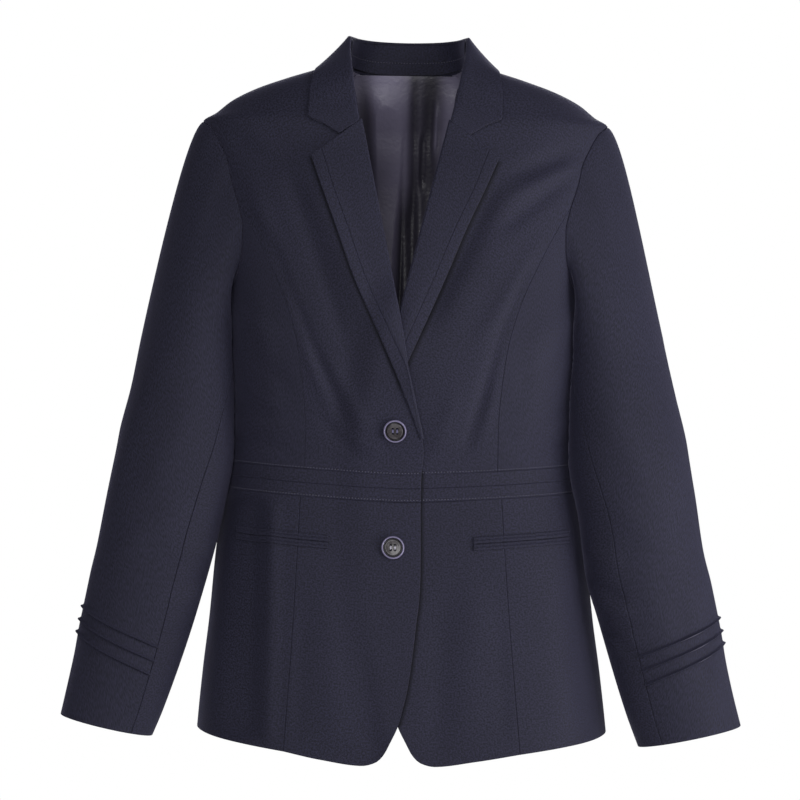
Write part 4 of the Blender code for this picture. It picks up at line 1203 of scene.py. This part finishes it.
def stitch_row(name, line, normals):
    """Stitches at an even pitch along a line of points on the cloth's face."""
    place = lengths(line)
    begin = np.arange(STITCH_PITCH, place[-1] - STITCH_PITCH, STITCH_PITCH)

    def read(at, values):
        return np.stack([np.interp(at, place, values[:, i]) for i in range(3)], axis=-1)

    capsules(name, read(begin, line), read(begin + STITCH_LENGTH, line), unit(read(begin, normals)),
             STITCH_WIDE, STITCH_STANDS, STITCH_THREAD)


STITCH_THREAD = thread_material("navy_thread", THREAD_BLUE)
along = np.linspace(0, 1, 400)
for place, below in (("top", STITCH_ABOVE_TOP), ("bottom", STITCH_ABOVE_BOTTOM)):
    for name, side in SIDES:
        start = float(edge_out(BAND_TOP_SIDE + BAND_DIP + below, name))
        flat = sided(waist(between(start, waist_side(below), along), below), side)
        points, normal = on_body(flat)
        line = raised(points, normal, overlap_lift(flat, name))
        stitch_row(f"stitches_{place}_front_{name}", line, normal)
    flat = waist(between(-1, 1, along) * waist_side(below), below, back=True)
    stitch_row(f"stitches_{place}_back", *on_body(flat, True))
row = int(np.argmax(edge_distances(stand)[0].mean(axis=1) > STAND_STITCH))
stitch_row("stitches_stand", stand_face[row], -stand_normals[row])

# The buttons: polished resin discs of 21 mm with a raised round rim, a groove inside it, a dished middle
# and four holes, each sewn through its holes with thread. The upper one is at the lapel's foot, the lower
# one on the skirt.
BUTTONS = {
    # name: x, down, how far its back stands off the curve of the cloth, and its thread's colour
    "button_upper": (-11.7, 342.6, 0.2, (0.16, 0.15, 0.3, 1)),
    "button_lower": (-14.1, 454.5, 0.6, (0.6, 0.58, 0.68, 1)),
}
BUTTON_FACE = [
    # radius and height, from the middle of the face to its outermost point
    (0, 2.2), (3, 2.25), (5.2, 2.4), (6.4, 2.6), (7.0, 2.7), (7.4, 2.6), (7.7, 2.1), (8.2, 1.75),
    (8.7, 1.9), (9.1, 2.8), (9.4, 3.4), (9.8, 3.62), (10.2, 3.55), (10.5, 3.2), (10.8, 2.6), (10.85, 2.1),
]
BUTTON_BACK = [(10.6, 1.4), (10.0, 0.8), (9.0, 0.4), (7.4, 0.3), (5.4, 0.3)]
HOLE_OUT, HOLE_RADIUS, SEWN_RADIUS, LIP = 2.05, 1.2, 5.4, 0.22
SEWN_SHIFT, SEWN_HEIGHT, SEWN_WIDE, SEWN_STANDS = 0.35, 1.7, 0.42, 1.35
ARC_STEPS, STRAIGHT_STEPS, GROOVE = 16, 9, (7.5, 9.1)
RESIN_DARK, RESIN_LIGHT = (0.035, 0.03, 0.034, 1), (0.09, 0.082, 0.09, 1)
# The groove's painted shade and the rim's painted highlight.
RESIN_GROOVE_PAINTED_SHADE, RESIN_RIM_PAINTED_HIGHLIGHT = (0.006, 0.005, 0.009, 1), (0.24, 0.215, 0.36, 1)


def face_height(radius):
    return np.interp(radius, *zip(*BUTTON_FACE))


def sewn_quarter():
    """A quarter of the button's middle: a tube that opens from its hole's wall into face and back."""
    straight = np.linspace(0, SEWN_RADIUS, STRAIGHT_STEPS)
    arc = np.linspace(0, math.pi / 2, ARC_STEPS + 1)
    edge = np.concatenate([
        np.column_stack([straight, 0 * straight])[:-1],
        np.column_stack([np.cos(arc), np.sin(arc)]) * SEWN_RADIUS,
        np.column_stack([0 * straight, straight])[:0:-1][1:],
    ])
    hole = np.array([HOLE_OUT, HOLE_OUT])
    spoke = unit(edge - hole)
    reach = np.linalg.norm(edge - hole, axis=1)[:, None]

    def opened(share):
        return hole + spoke * (HOLE_RADIUS + (reach - HOLE_RADIUS) * share)

    rings = []
    for share, up in ((1, 0), (0.6, 0), (0.3, 0), (0.12, 0), (0.04, -0.03), (0, -LIP)):
        flat = opened(share)
        rings.append(np.column_stack([flat, face_height(np.linalg.norm(flat, axis=1)) + up]))
    for share in (0, 0.3, 1):
        flat = opened(share)
        rings.append(np.column_stack([flat, 0 * flat[:, 0] + BUTTON_BACK[-1][1]]))
    return np.array(rings)


def button_shape():
    """Points (across, up, out of the face) and quads: four sewn quarters, and the ring round them."""
    x, y, height = np.moveaxis(sewn_quarter(), -1, 0)
    quarter_turns = ((1, 0), (0, 1), (-1, 0), (0, -1))
    parts = [np.stack([c * x - s * y, s * x + c * y, height], -1) for c, s in quarter_turns]
    turn = np.linspace(0, math.tau, 4 * ARC_STEPS + 1)[:-1]
    profile = [(SEWN_RADIUS, float(face_height(SEWN_RADIUS)))] + BUTTON_FACE[3:] + BUTTON_BACK
    parts.append(np.array([np.column_stack([np.cos(turn) * r, np.sin(turn) * r, 0 * turn + h])
                           for r, h in profile]))
    first = np.cumsum([0] + [part[..., 0].size for part in parts])
    faces = [ring_quads(*part.shape[:2], start) for part, start in zip(parts, first)]
    faces[-1] = faces[-1][:, ::-1]
    points = np.concatenate([part.reshape(-1, 3) for part in parts])
    _, kept, same = np.unique(np.round(points, 4), axis=0, return_index=True, return_inverse=True)
    return points[kept], same.ravel()[np.concatenate(faces)]


def resin():
    """Polished dark resin: faint marbling, a grey middle, a painted rim highlight and painted groove shade.
    """
    made, tree, shader = new_material("dark_resin")
    place = wired(tree, "ShaderNodeTexCoord", {})["Object"]
    marble = wired(tree, "ShaderNodeTexNoise", {"Vector": place, "Scale": 260, "Detail": 3})["Fac"]
    radius = attribute(tree, "radius")
    middle = mixed(tree, ranged(tree, marble, 0.35, 0.65), RESIN_DARK, RESIN_LIGHT)
    # Painted shade in the groove, and a painted highlight on the rim in place of the white room's
    # reflection.
    groove = mixed(tree, ranged(tree, radius, GROOVE[0] - 0.3, GROOVE[0] + 0.3), middle, RESIN_GROOVE_PAINTED_SHADE)
    whole = mixed(tree, ranged(tree, radius, GROOVE[1], GROOVE[1] + 0.4), groove, RESIN_RIM_PAINTED_HIGHLIGHT)
    tree.links.new(whole, shader.inputs["Base Color"])
    shader.inputs["Roughness"].default_value = 0.3
    shader.inputs["Coat Weight"].default_value = 0.3
    shader.inputs["Coat Roughness"].default_value = 0.15
    return made


RESIN = resin()
shape, quads = button_shape()

for name, (x, down, stand_off, colour) in BUTTONS.items():
    flat = spread_of(np.array(x - centre_line(down)), np.array(float(down)))
    point, facing = on_body(flat)
    middle = point + facing * (overlap_lift(flat, "R") + stand_off)
    across = unit(np.cross((0, 0, 1), facing))
    turned = np.stack([across, np.cross(facing, across), facing])
    mesh = bpy.data.meshes.new(name)
    mesh.from_pydata((hang(middle + shape @ turned) * MM).tolist(), [], quads.tolist())
    point_values(mesh, "radius", np.hypot(shape[:, 0], shape[:, 1]))
    button = riding(name, mesh, RESIN)
    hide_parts(name)
    ends = [(sign * HOLE_OUT + shift, turn * HOLE_OUT, SEWN_HEIGHT) for turn in (-1, 1) for sign in (-1, 1)
            for shift in (-SEWN_SHIFT, SEWN_SHIFT)]
    ends = middle + np.array(ends) @ turned
    capsules(f"thread_{name}", ends[:4], ends[4:], np.repeat(facing[None], 4, axis=0), SEWN_WIDE,
             SEWN_STANDS, thread_material(f"thread_{name}", colour))
